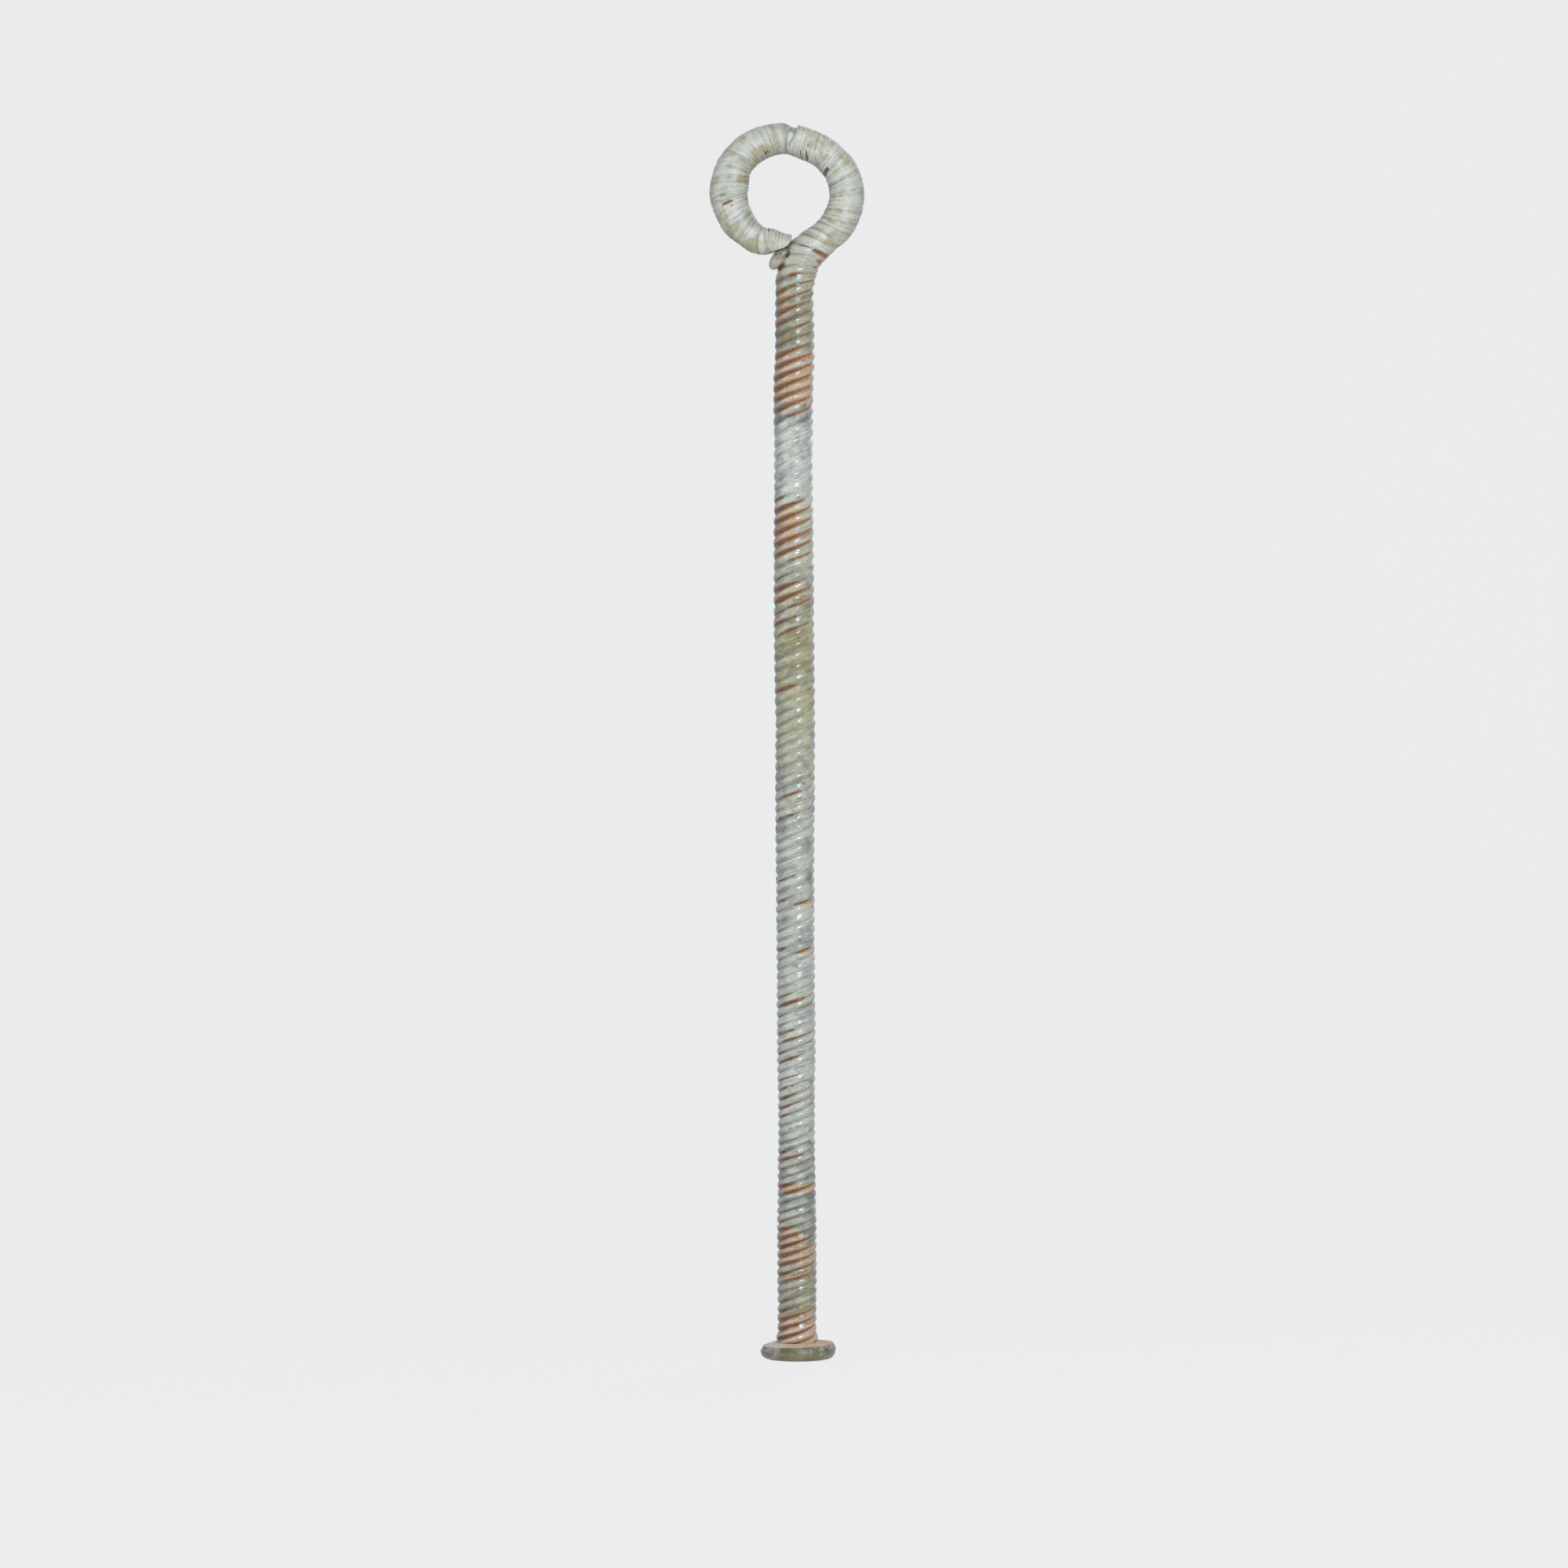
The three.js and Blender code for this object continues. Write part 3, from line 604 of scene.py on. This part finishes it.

    # Fine creases where the lines' noise crosses its middle value, and a broken dark line along the grooves
    # that is partly dirt and partly painted shade
    crossing = add(tree, "ShaderNodeMath", {0: striae, 1: 0.5}, operation="SUBTRACT")
    crossing = add(tree, "ShaderNodeMath", {0: crossing}, operation="ABSOLUTE")
    crease = add(tree, "ShaderNodeMapRange",
                 {"Value": crossing, "From Max": 0.025, "To Min": 0.5, "To Max": 0.0})
    glass = add(tree, "ShaderNodeMix", {0: crease, 6: glass, 7: linear("#66685A")}, 2, data_type="RGBA")
    # Dark line along the grooves: partly dirt, partly painted shade that reaches farther at the rod's left
    fold = add(tree, "ShaderNodeMath", {0: mottles, 1: 1.2, 2: shaded_groove}, operation="MULTIPLY_ADD")
    fold = add(tree, "ShaderNodeMath", {0: milky, 1: -0.9, 2: fold}, operation="MULTIPLY_ADD")
    fold = add(tree, "ShaderNodeMapRange",
               {"Value": fold, "From Min": 0.95, "From Max": 1.3, "To Max": 0.6})
    glass = add(tree, "ShaderNodeMix", {0: fold, 6: glass, 7: linear("#655843")}, 2, data_type="RGBA")

    # Soil: tan, with a grey film on the crests that is partly painted sheen, and painted shade in the
    # grooves, deeper at the rod's left
    amount = add(tree, "ShaderNodeMath", {0: mottles, 1: 1.2, 2: soil}, operation="MULTIPLY_ADD")
    amount = add(tree, "ShaderNodeMath", {0: valley, 1: 0.6, 2: amount}, operation="MULTIPLY_ADD")
    amount = add(tree, "ShaderNodeMath", {0: ragged, 1: 0.9, 2: amount}, operation="MULTIPLY_ADD")
    amount = add(tree, "ShaderNodeMath", {0: grains, 1: 0.5, 2: amount}, operation="MULTIPLY_ADD")
    amount = add(tree, "ShaderNodeMath", {0: milky, 1: -0.6, 2: amount}, operation="MULTIPLY_ADD")
    soiled = add(tree, "ShaderNodeMapRange", {"Value": amount, "From Min": 1.8, "From Max": 2.0})
    pale = add(tree, "ShaderNodeMath", {0: grains, 1: 0.7, 2: mottles}, operation="MULTIPLY_ADD")
    pale = add(tree, "ShaderNodeMapRange", {"Value": pale, "From Min": 0.68, "From Max": 1.02})
    earth = add(tree, "ShaderNodeMix", {0: pale, 6: linear("#AE8457"), 7: linear("#D9B48B")}, 2,
                data_type="RGBA")
    earth = add(tree, "ShaderNodeMix", {0: ring, 6: earth, 7: linear("#8E6636")}, 2, data_type="RGBA")
    # Grey film on the soil's crests, laid on more towards the rod's right: a real film, and there partly
    # painted sheen
    film = add(tree, "ShaderNodeMath", {0: shaded_groove, 1: -0.6, 2: mottles}, operation="MULTIPLY_ADD")
    film = add(tree, "ShaderNodeMath", {0: striae, 1: 1.5, 2: film}, operation="MULTIPLY_ADD")
    film = add(tree, "ShaderNodeMapRange",
               {"Value": film, "From Min": 0.95, "From Max": 1.4, "To Max": 0.85})
    earth = add(tree, "ShaderNodeMix", {0: film, 6: earth, 7: linear("#C6C0B6")}, 2, data_type="RGBA")
    # Painted shade in the soil's grooves, reaching farther up their walls at the rod's left
    shadow = add(tree, "ShaderNodeMath", {0: mottles, 1: 0.4, 2: shaded_groove}, operation="MULTIPLY_ADD")
    shadow = add(tree, "ShaderNodeMapRange",
                 {"Value": shadow, "From Min": 0.6, "From Max": 1.1, "To Max": 0.95})
    earth = add(tree, "ShaderNodeMix", {0: shadow, 6: earth, 7: linear("#6F4B2A")}, 2, data_type="RGBA")
    colour = add(tree, "ShaderNodeMix", {0: soiled, 6: glass, 7: earth}, 2, data_type="RGBA")

    # Single dark marks, a fine speckle over all, and pale specks where the skin has blistered
    spot = add(tree, "ShaderNodeMath", {0: grains, 1: 1.5, 2: dark}, operation="MULTIPLY_ADD")
    spot = add(tree, "ShaderNodeMapRange",
               {"Value": spot, "From Min": 1.25, "From Max": 1.5, "To Max": 0.85})
    colour = add(tree, "ShaderNodeMix", {0: spot, 6: colour, 7: linear("#5A3A22")}, 2, data_type="RGBA")
    speckle = add(tree, "ShaderNodeMapRange",
                  {"Value": grains, "From Min": 0.42, "From Max": 0.3, "To Max": 0.35})
    colour = add(tree, "ShaderNodeMix", {0: speckle, 6: colour, 7: linear("#6A665A")}, 2, data_type="RGBA")
    blister = add(tree, "ShaderNodeMapRange",
                  {"Value": grains, "From Min": 0.62, "From Max": 0.72, "To Max": 0.3})
    colour = add(tree, "ShaderNodeMix", {0: blister, 6: colour, 7: linear("#E2E7E6")}, 2, data_type="RGBA")
    tree.links.new(colour, shader.inputs["Base Color"])

    # Wet-looking on the shaft, satin on the ring
    gloss = add(tree, "ShaderNodeMapRange",
                {"Value": grains, "From Min": 0.3, "From Max": 0.7, "To Min": 0.08, "To Max": 0.22})
    rough = add(tree, "ShaderNodeMapRange", {"Value": ring, "To Min": gloss, "To Max": 0.45})
    tree.links.new(rough, shader.inputs["Roughness"])
    clear = add(tree, "ShaderNodeMapRange", {"Value": soiled, "To Min": 0.15, "To Max": 0.0})
    tree.links.new(clear, shader.inputs["Transmission Weight"])
    shader.inputs["IOR"].default_value = 1.65
    shader.inputs["Specular Tint"].default_value = linear("#E6EAFF")
    shader.inputs["Thin Film Thickness"].default_value = 140
    shader.inputs["Thin Film IOR"].default_value = 1.55
    relief = add(tree, "ShaderNodeMath", {0: striae, 1: 0.3, 2: streaks}, operation="MULTIPLY_ADD")
    relief = add(tree, "ShaderNodeMath", {0: grains, 1: 0.14, 2: relief}, operation="MULTIPLY_ADD")
    bump = add(tree, "ShaderNodeBump", {"Height": relief, "Distance": 0.12 * MM})
    tree.links.new(bump, shader.inputs["Normal"])
    return material


def foot_glass(name):
    """Pressed glass disc: clear olive glass on the lower edge, a grey-mauve weathered skin that has
    flaked off the bevel in front, and tan soil with pale grains on top."""
    material, tree, shader = new_material(name)
    bevel = add(tree, "ShaderNodeAttribute", output="Fac", attribute_name="bevel")
    top = add(tree, "ShaderNodeAttribute", output="Fac", attribute_name="top")
    side = add(tree, "ShaderNodeAttribute", output="Fac", attribute_name="side")
    place = add(tree, "ShaderNodeTexCoord", output="Object")
    patches = add(tree, "ShaderNodeTexNoise", {"Vector": place, "Scale": per_size(1.6), "Detail": 6.0})
    grains = add(tree, "ShaderNodeTexNoise", {"Vector": place, "Scale": per_size(0.35), "Detail": 4.0})

    clear = add(tree, "ShaderNodeMapRange", {"Value": patches, "From Min": 0.35, "From Max": 0.65})
    body = add(tree, "ShaderNodeMix", {0: clear, 6: linear("#6F7257"), 7: linear("#8B8C6B")}, 2,
               data_type="RGBA")
    amount = add(tree, "ShaderNodeMath", {0: patches, 1: 1.5}, operation="MULTIPLY")
    amount = add(tree, "ShaderNodeMath", {0: bevel, 1: 0.25, 2: amount}, operation="MULTIPLY_ADD")
    amount = add(tree, "ShaderNodeMath", {0: side, 1: 0.4, 2: amount}, operation="MULTIPLY_ADD")
    skin = add(tree, "ShaderNodeMapRange", {"Value": amount, "From Min": 1.05, "From Max": 1.25})
    grain = add(tree, "ShaderNodeMapRange", {"Value": grains, "From Min": 0.35, "From Max": 0.65})
    crust = add(tree, "ShaderNodeMix", {0: grain, 6: linear("#86817C"), 7: linear("#C2BDB7")}, 2,
                data_type="RGBA")
    body = add(tree, "ShaderNodeMix", {0: skin, 6: body, 7: crust}, 2, data_type="RGBA")
    earth = add(tree, "ShaderNodeMix", {0: grain, 6: linear("#D99A63"), 7: linear("#FBEBD8")}, 2,
                data_type="RGBA")
    across = add(tree, "ShaderNodeSeparateXYZ", {"Vector": place})
    grey = add(tree, "ShaderNodeMath", {0: across, 1: -0.04 / MM, 2: patches}, operation="MULTIPLY_ADD")
    grey = add(tree, "ShaderNodeMapRange",
               {"Value": grey, "From Min": 0.48, "From Max": 0.62, "To Max": 0.85})
    earth = add(tree, "ShaderNodeMix", {0: grey, 6: earth, 7: linear("#EFECE7")}, 2, data_type="RGBA")
    colour = add(tree, "ShaderNodeMix", {0: top, 6: body, 7: earth}, 2, data_type="RGBA")
    tree.links.new(colour, shader.inputs["Base Color"])
    covered = add(tree, "ShaderNodeMath", {0: skin, 1: top}, operation="MAXIMUM")
    rough = add(tree, "ShaderNodeMapRange", {"Value": covered, "To Min": 0.18, "To Max": 0.6})
    tree.links.new(rough, shader.inputs["Roughness"])
    shader.inputs["Transmission Weight"].default_value = 0.1
    shader.inputs["IOR"].default_value = 1.5
    relief = add(tree, "ShaderNodeMath", {0: grains, 1: covered}, operation="MULTIPLY")
    bump = add(tree, "ShaderNodeBump", {"Height": relief, "Distance": 0.2 * MM})
    tree.links.new(bump, shader.inputs["Normal"])
    return material


def clear_glass(name, shaded, pale, roughness, transmission):
    """Mending resin, or fresher glass with little weathering: two tints in soft patches, painted shade along
    the seam with the old glass, a faint unevenness and a wet look."""
    material, tree, shader = new_material(name)
    place = add(tree, "ShaderNodeTexCoord", output="Object")
    patch = add(tree, "ShaderNodeTexNoise", {"Vector": place, "Scale": per_size(1.4), "Detail": 4.0})
    share = add(tree, "ShaderNodeMapRange", {"Value": patch, "From Min": 0.4, "From Max": 0.6})
    tint = add(tree, "ShaderNodeMix", {0: share, 6: linear(shaded), 7: linear(pale)}, 2, data_type="RGBA")
    # Painted shade along the seam with the old glass
    seam = add(tree, "ShaderNodeAttribute", output="Fac", attribute_name="seam")
    tint = add(tree, "ShaderNodeMix", {0: seam, 6: tint, 7: linear("#7F867E")}, 2, data_type="RGBA")
    tree.links.new(tint, shader.inputs["Base Color"])
    shader.inputs["Roughness"].default_value = roughness
    shader.inputs["Transmission Weight"].default_value = transmission
    shader.inputs["IOR"].default_value = 1.5
    bump = add(tree, "ShaderNodeBump", {"Height": patch, "Distance": 0.1 * MM})
    tree.links.new(bump, shader.inputs["Normal"])
    return material


def finish_piece(piece, node, material):
    piece.data.materials.append(material)
    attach(piece, "root")
    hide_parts(node)


def tail_glass(name):
    """Grey green glass, clearer than the rest, in two tints in soft patches, with a pinkish grey crust of
    weathering on its free end."""
    material, tree, shader = new_material(name)
    tip = add(tree, "ShaderNodeAttribute", output="Fac", attribute_name="tip")
    place = add(tree, "ShaderNodeTexCoord", output="Object")
    patches = add(tree, "ShaderNodeTexNoise", {"Vector": place, "Scale": per_size(1.2), "Detail": 5.0})
    grains = add(tree, "ShaderNodeTexNoise", {"Vector": place, "Scale": per_size(0.3), "Detail": 3.0})
    share = add(tree, "ShaderNodeMapRange", {"Value": patches, "From Min": 0.4, "From Max": 0.6})
    body = add(tree, "ShaderNodeMix", {0: share, 6: linear("#727B6A"), 7: linear("#9AA193")}, 2,
               data_type="RGBA")
    grain = add(tree, "ShaderNodeMapRange", {"Value": grains, "From Min": 0.35, "From Max": 0.65})
    crust = add(tree, "ShaderNodeMix", {0: grain, 6: linear("#A99F96"), 7: linear("#D2CBC3")}, 2,
                data_type="RGBA")
    amount = add(tree, "ShaderNodeMath", {0: patches, 1: 0.8, 2: tip}, operation="MULTIPLY_ADD")
    crusted = add(tree, "ShaderNodeMapRange",
                  {"Value": amount, "From Min": 0.85, "From Max": 1.05, "To Max": 0.9})
    colour = add(tree, "ShaderNodeMix", {0: crusted, 6: body, 7: crust}, 2, data_type="RGBA")
    tree.links.new(colour, shader.inputs["Base Color"])
    rough = add(tree, "ShaderNodeMapRange", {"Value": crusted, "To Min": 0.12, "To Max": 0.4})
    tree.links.new(rough, shader.inputs["Roughness"])
    clear = add(tree, "ShaderNodeMapRange", {"Value": crusted, "To Min": 0.4, "To Max": 0.05})
    tree.links.new(clear, shader.inputs["Transmission Weight"])
    shader.inputs["IOR"].default_value = 1.5
    bump = add(tree, "ShaderNodeBump", {"Height": patches, "Distance": 0.3 * MM})
    tree.links.new(bump, shader.inputs["Normal"])
    return material


GLASS = weathered_glass("weathered twisted glass")
RESIN = clear_glass("clear mending resin", "#BAC1BD", "#E4E7E5", 0.15, 0.3)


def make_twisted_rod():
    piece = glass_piece("twisted_rod_glass", square_face(0.0), broken_face(TOP_BREAK_RIGHT), 0.17, 64)
    finish_piece(piece, "twisted_rod", GLASS)


def make_ring_upper_piece():
    def fit(points):
        return keep_below(points, CHIP, 0.0)
    end = square_face(distance_at(SIDE_BREAK_ANGLE) - MEND_GAP / 2)
    piece = glass_piece("ring_upper_glass", broken_face(TOP_BREAK_LEFT), end, 0.12, 72)
    edit_points(piece, fit)
    finish_piece(piece, "ring_upper_piece", GLASS)


def make_ring_lower_piece():
    def fit(points):
        return keep_off_neck(keep_above(points, SLANT_BREAK, 0.0), 0.2)
    start = square_face(distance_at(SIDE_BREAK_ANGLE) + MEND_GAP / 2)
    piece = glass_piece("ring_lower_glass", start, broken_face(LOWER_END), 0.12, 72)
    edit_points(piece, fit)
    finish_piece(piece, "ring_lower_piece", GLASS)


def tail_body(name, inset, change, rings=40, columns=64):
    """Ellipsoid: rings of a circle whose radius is the sine and whose height is the cosine of the angle
    from its end, scaled by its three half sizes, leant in the XZ plane and then changed point by point."""
    half_width, half_depth, half_length = np.array(TAIL_HALF_SIZES) - inset
    polar = np.linspace(math.pi, 0, rings + 2)[1:-1, None]
    turn = np.linspace(0, 2 * math.pi, columns, endpoint=False)[None]
    round_x = half_width * np.sin(polar) * np.cos(turn)
    round_y = half_depth * np.sin(polar) * np.sin(turn)
    round_z = half_length * np.cos(polar) + 0 * turn
    rows = np.stack([round_x, round_y, round_z], -1)
    poles = np.array([[0, 0, -half_length], [0, 0, half_length]], float)
    cos, sin = math.cos(TAIL_LEAN), math.sin(TAIL_LEAN)
    leaning = np.array([[cos, 0, sin], [0, 1, 0], [-sin, 0, cos]])
    along = np.array([math.cos(SLANT_BREAK_SLOPE), math.sin(SLANT_BREAK_SLOPE)])
    x, z = SLANT_BREAK[0] - TAIL_ALONG_BREAK * along - TAIL_BELOW_BREAK * SLANT_BREAK[1]
    moved = np.concatenate([rows.reshape(-1, 3), poles]) @ leaning.T + (x, -TAIL_FORWARD, z)
    moved = change(moved)
    tip = np.concatenate([((1 - np.cos(polar)) / 2 + 0 * turn).ravel(), [1, 0]])
    return closed_mesh(name, moved[:-2].reshape(rows.shape), moved[-2:], {"tip": tip})


def make_loop_tail():
    def fit(points):
        return keep_off_neck(keep_below(points, SLANT_BREAK, 0.05), 0.05)
    piece = tail_body("loop_tail_glass", 0.0, fit)
    finish_piece(piece, "loop_tail", tail_glass("grey green glass"))


def make_mends():
    def fit_fill(points):
        return keep_within_reach(points, TOP_FILL_REACH)

    def fit_film(points):
        layer = keep_above(keep_below(points, SLANT_BREAK, 0.01), SLANT_BREAK, -0.04)
        return keep_off_neck(layer, 0.05)
    start = broken_face(TOP_BREAK_RIGHT, 0.01)
    end = broken_face(TOP_BREAK_LEFT, -0.01)
    fill = glass_piece("top_break_resin", start, end, 0.1, 48, inset=GLUE_INSET, grooved=False)
    edit_points(fill, fit_fill)
    finish_piece(fill, "top_break_fill", RESIN)
    middle = distance_at(SIDE_BREAK_ANGLE)
    start, end = square_face(middle - MEND_GAP / 2), square_face(middle + MEND_GAP / 2)
    glue = glass_piece("side_break_resin", start, end, 0.05, 48, inset=GLUE_INSET, grooved=False)
    finish_piece(glue, "side_break_glue", RESIN)
    film = tail_body("tail_break_resin", GLUE_INSET, fit_film)
    finish_piece(film, "tail_break_glue", RESIN)


def make_disc_foot():
    """Lathe: the profile runs out along the underside, up a quarter ellipse, in along a straight bevel
    and over the shoulder to the seat, with rows close to both edges of the bevel so that they stay
    crisp. The rim slopes up to the right, fading out at the underside and at the seat."""
    seat = SHAFT_DIAMETERS[0][1] / 2 + SEAT_MARGIN
    quarter = np.linspace(0, math.pi / 2, 12)[1:]
    shares = np.array([0.04, 0.12, 0.3, 0.5, 0.7, 0.88, 0.96, 1])
    under = np.linspace(0.6, FOOT_UNDERSIDE_RADIUS, 6)
    lower = FOOT_UNDERSIDE_RADIUS + (FOOT_RADIUS - FOOT_UNDERSIDE_RADIUS) * np.sin(quarter)
    bevel = FOOT_RADIUS + (FOOT_SHOULDER_RADIUS - FOOT_RADIUS) * shares
    over = FOOT_SHOULDER_RADIUS + (seat - FOOT_SHOULDER_RADIUS) * shares
    inner = np.linspace(seat, 0.6, 5)[1:]
    radius = np.concatenate([under, lower, bevel, over, inner])
    height = np.concatenate([
        0 * under,
        FOOT_WIDEST_HEIGHT * (1 - np.cos(quarter)),
        FOOT_WIDEST_HEIGHT + (FOOT_SHOULDER_HEIGHT - FOOT_WIDEST_HEIGHT) * shares,
        FOOT_SHOULDER_HEIGHT + (FOOT_THICKNESS - FOOT_SHOULDER_HEIGHT) * shares,
        0 * inner + FOOT_THICKNESS,
    ])
    is_bevel = np.concatenate([0 * under, 0 * lower, 0 * bevel + 1, 0 * over, 0 * inner])
    is_top = np.concatenate([0 * under, 0 * lower, 0 * bevel, 0 * over + 1, 0 * inner + 1])
    turn = np.linspace(0, 2 * math.pi, 128, endpoint=False)
    outward = eased(radius, ((seat, 0), (FOOT_SHOULDER_RADIUS, 1)))[:, None]
    upward = eased(height, ((0, 0), (FOOT_WIDEST_HEIGHT, 1)))[:, None]
    x = radius[:, None] * np.cos(turn)
    y = radius[:, None] * np.sin(turn)
    z = height[:, None] + x * math.tan(FOOT_RIM_SLOPE) * outward * upward
    rows = np.stack([x + FOOT_OFFSET * outward, y, z], -1)
    poles = np.array([[0, 0, 0], [0, 0, FOOT_THICKNESS]], float)
    layers = {
        "bevel": np.concatenate([(is_bevel[:, None] + 0 * turn).ravel(), [0, 0]]),
        "top": np.concatenate([(is_top[:, None] + 0 * turn).ravel(), [0, 1]]),
        "side": np.concatenate([np.abs(rows[..., 0]).ravel() / FOOT_RADIUS, [0, 0]]),
    }
    piece = closed_mesh("disc_foot_glass", rows, poles, layers)
    finish_piece(piece, "disc_foot", foot_glass("pressed olive glass"))


def make_stage():
    """Pale sweep: a floor that curves up into a wall behind, drawn as a profile carried along X. It lies
    a hair below the foot, so that the two faces don't fight, and is clear seen from its other side."""
    turn = np.linspace(0, math.pi / 2, 24)
    bend = 0.5
    depth = np.concatenate([[-2.0], 0.9 + bend * np.sin(turn), [0.9 + bend]])
    height = np.concatenate([[0], bend * (1 - np.cos(turn)), [3.0]]) - FLOOR_GAP * MM
    count = len(depth)
    left = np.stack([np.full(count, -3.0), depth, height], -1)
    right = left * (-1, 1, 1)
    index = np.arange(count - 1)
    faces = np.stack([index, index + count, index + count + 1, index + 1], -1)
    mesh = bpy.data.meshes.new("sweep")
    mesh.from_pydata(np.concatenate([left, right]), [], faces.tolist())
    mesh.shade_smooth()
    floor = bpy.data.objects.new("sweep", mesh)
    bpy.context.scene.collection.objects.link(floor)
    material, tree, shader = new_material("pale paper")
    shader.inputs["Base Color"].default_value = linear("#E6E7E7")
    shader.inputs["Roughness"].default_value = 0.9
    glow = add(tree, "ShaderNodeEmission", {"Color": linear("#F1F2F2"), "Strength": 1.0})
    camera = add(tree, "ShaderNodeLightPath", output="Is Camera Ray")
    glossy = add(tree, "ShaderNodeLightPath", output="Is Glossy Ray")
    through = add(tree, "ShaderNodeLightPath", output="Is Transmission Ray")
    seen = add(tree, "ShaderNodeMath", {0: camera, 1: through}, operation="MAXIMUM")
    seen = add(tree, "ShaderNodeMath", {0: seen, 1: glossy}, operation="MAXIMUM")
    share = add(tree, "ShaderNodeMath", {0: seen, 1: 0.88}, operation="MULTIPLY")
    both = add(tree, "ShaderNodeMixShader", {0: share, 1: shader.outputs[0], 2: glow})
    behind = add(tree, "ShaderNodeNewGeometry", output="Backfacing")
    clear = add(tree, "ShaderNodeBsdfTransparent")
    both = add(tree, "ShaderNodeMixShader", {0: behind, 1: both, 2: clear})
    tree.links.new(both, tree.nodes["Material Output"].inputs["Surface"])
    mesh.materials.append(material)


def make_lights():
    """Broad key light just right of the camera and a little above it, a small one in front of it that
    gives the glints, a fill at the left and a weak one behind. The world is pale where the camera looks
    past the sweep or through the glass, and dim as a light."""
    world = bpy.data.worlds.new("studio")
    world.use_nodes = True
    bpy.context.scene.world = world
    tree = world.node_tree
    camera = add(tree, "ShaderNodeLightPath", output="Is Camera Ray")
    through = add(tree, "ShaderNodeLightPath", output="Is Transmission Ray")
    seen = add(tree, "ShaderNodeMath", {0: camera, 1: through}, operation="MAXIMUM")
    strength = add(tree, "ShaderNodeMapRange", {"Value": seen, "To Min": 0.24, "To Max": 1.0})
    tree.links.new(strength, tree.nodes["Background"].inputs["Strength"])
    tree.nodes["Background"].inputs["Color"].default_value = linear("#EAEBEB")
    target = np.array([0, 0, 0.1])
    for name, place, size, power in (
        ("key", (0.37, -1.1, 0.5), 0.45, 7.3),
        ("sparkle", (0.25, -1.05, 0.5), 0.13, 1.7),
        ("fill", (-0.95, -0.7, 0.35), 0.8, 3.6),
        ("rear", (0.5, 1.1, 0.9), 0.8, 3.0),
    ):
        lamp = bpy.data.lights.new(name, "AREA")
        lamp.size = size
        lamp.energy = power
        holder = bpy.data.objects.new(name, lamp)
        holder.location = place
        holder.rotation_euler = Vector(target - np.array(place)).to_track_quat("-Z", "Y").to_euler()
        bpy.context.scene.collection.objects.link(holder)


def make_camera():
    """Level camera in front, rolled so that the rod leans as in the photograph."""
    camera = bpy.data.cameras.new("camera")
    camera.sensor_width = SENSOR
    camera.lens = FOCAL_PIXELS / IMAGE_PIXELS * SENSOR
    holder = bpy.data.objects.new("camera", camera)
    middle = IMAGE_PIXELS / 2
    holder.location = ((middle - AXIS_COLUMN) * PIXEL, -FOCAL_PIXELS * PIXEL, (FOOT_ROW - middle) * PIXEL)
    holder.rotation_euler = (math.pi / 2, LEAN, 0)
    bpy.context.scene.collection.objects.link(holder)
    bpy.context.scene.camera = holder


make_camera()
make_lights()
make_stage()
make_disc_foot()
make_twisted_rod()
make_ring_upper_piece()
make_ring_lower_piece()
make_loop_tail()
make_mends()
bpy.context.scene.view_settings.view_transform = "Standard"
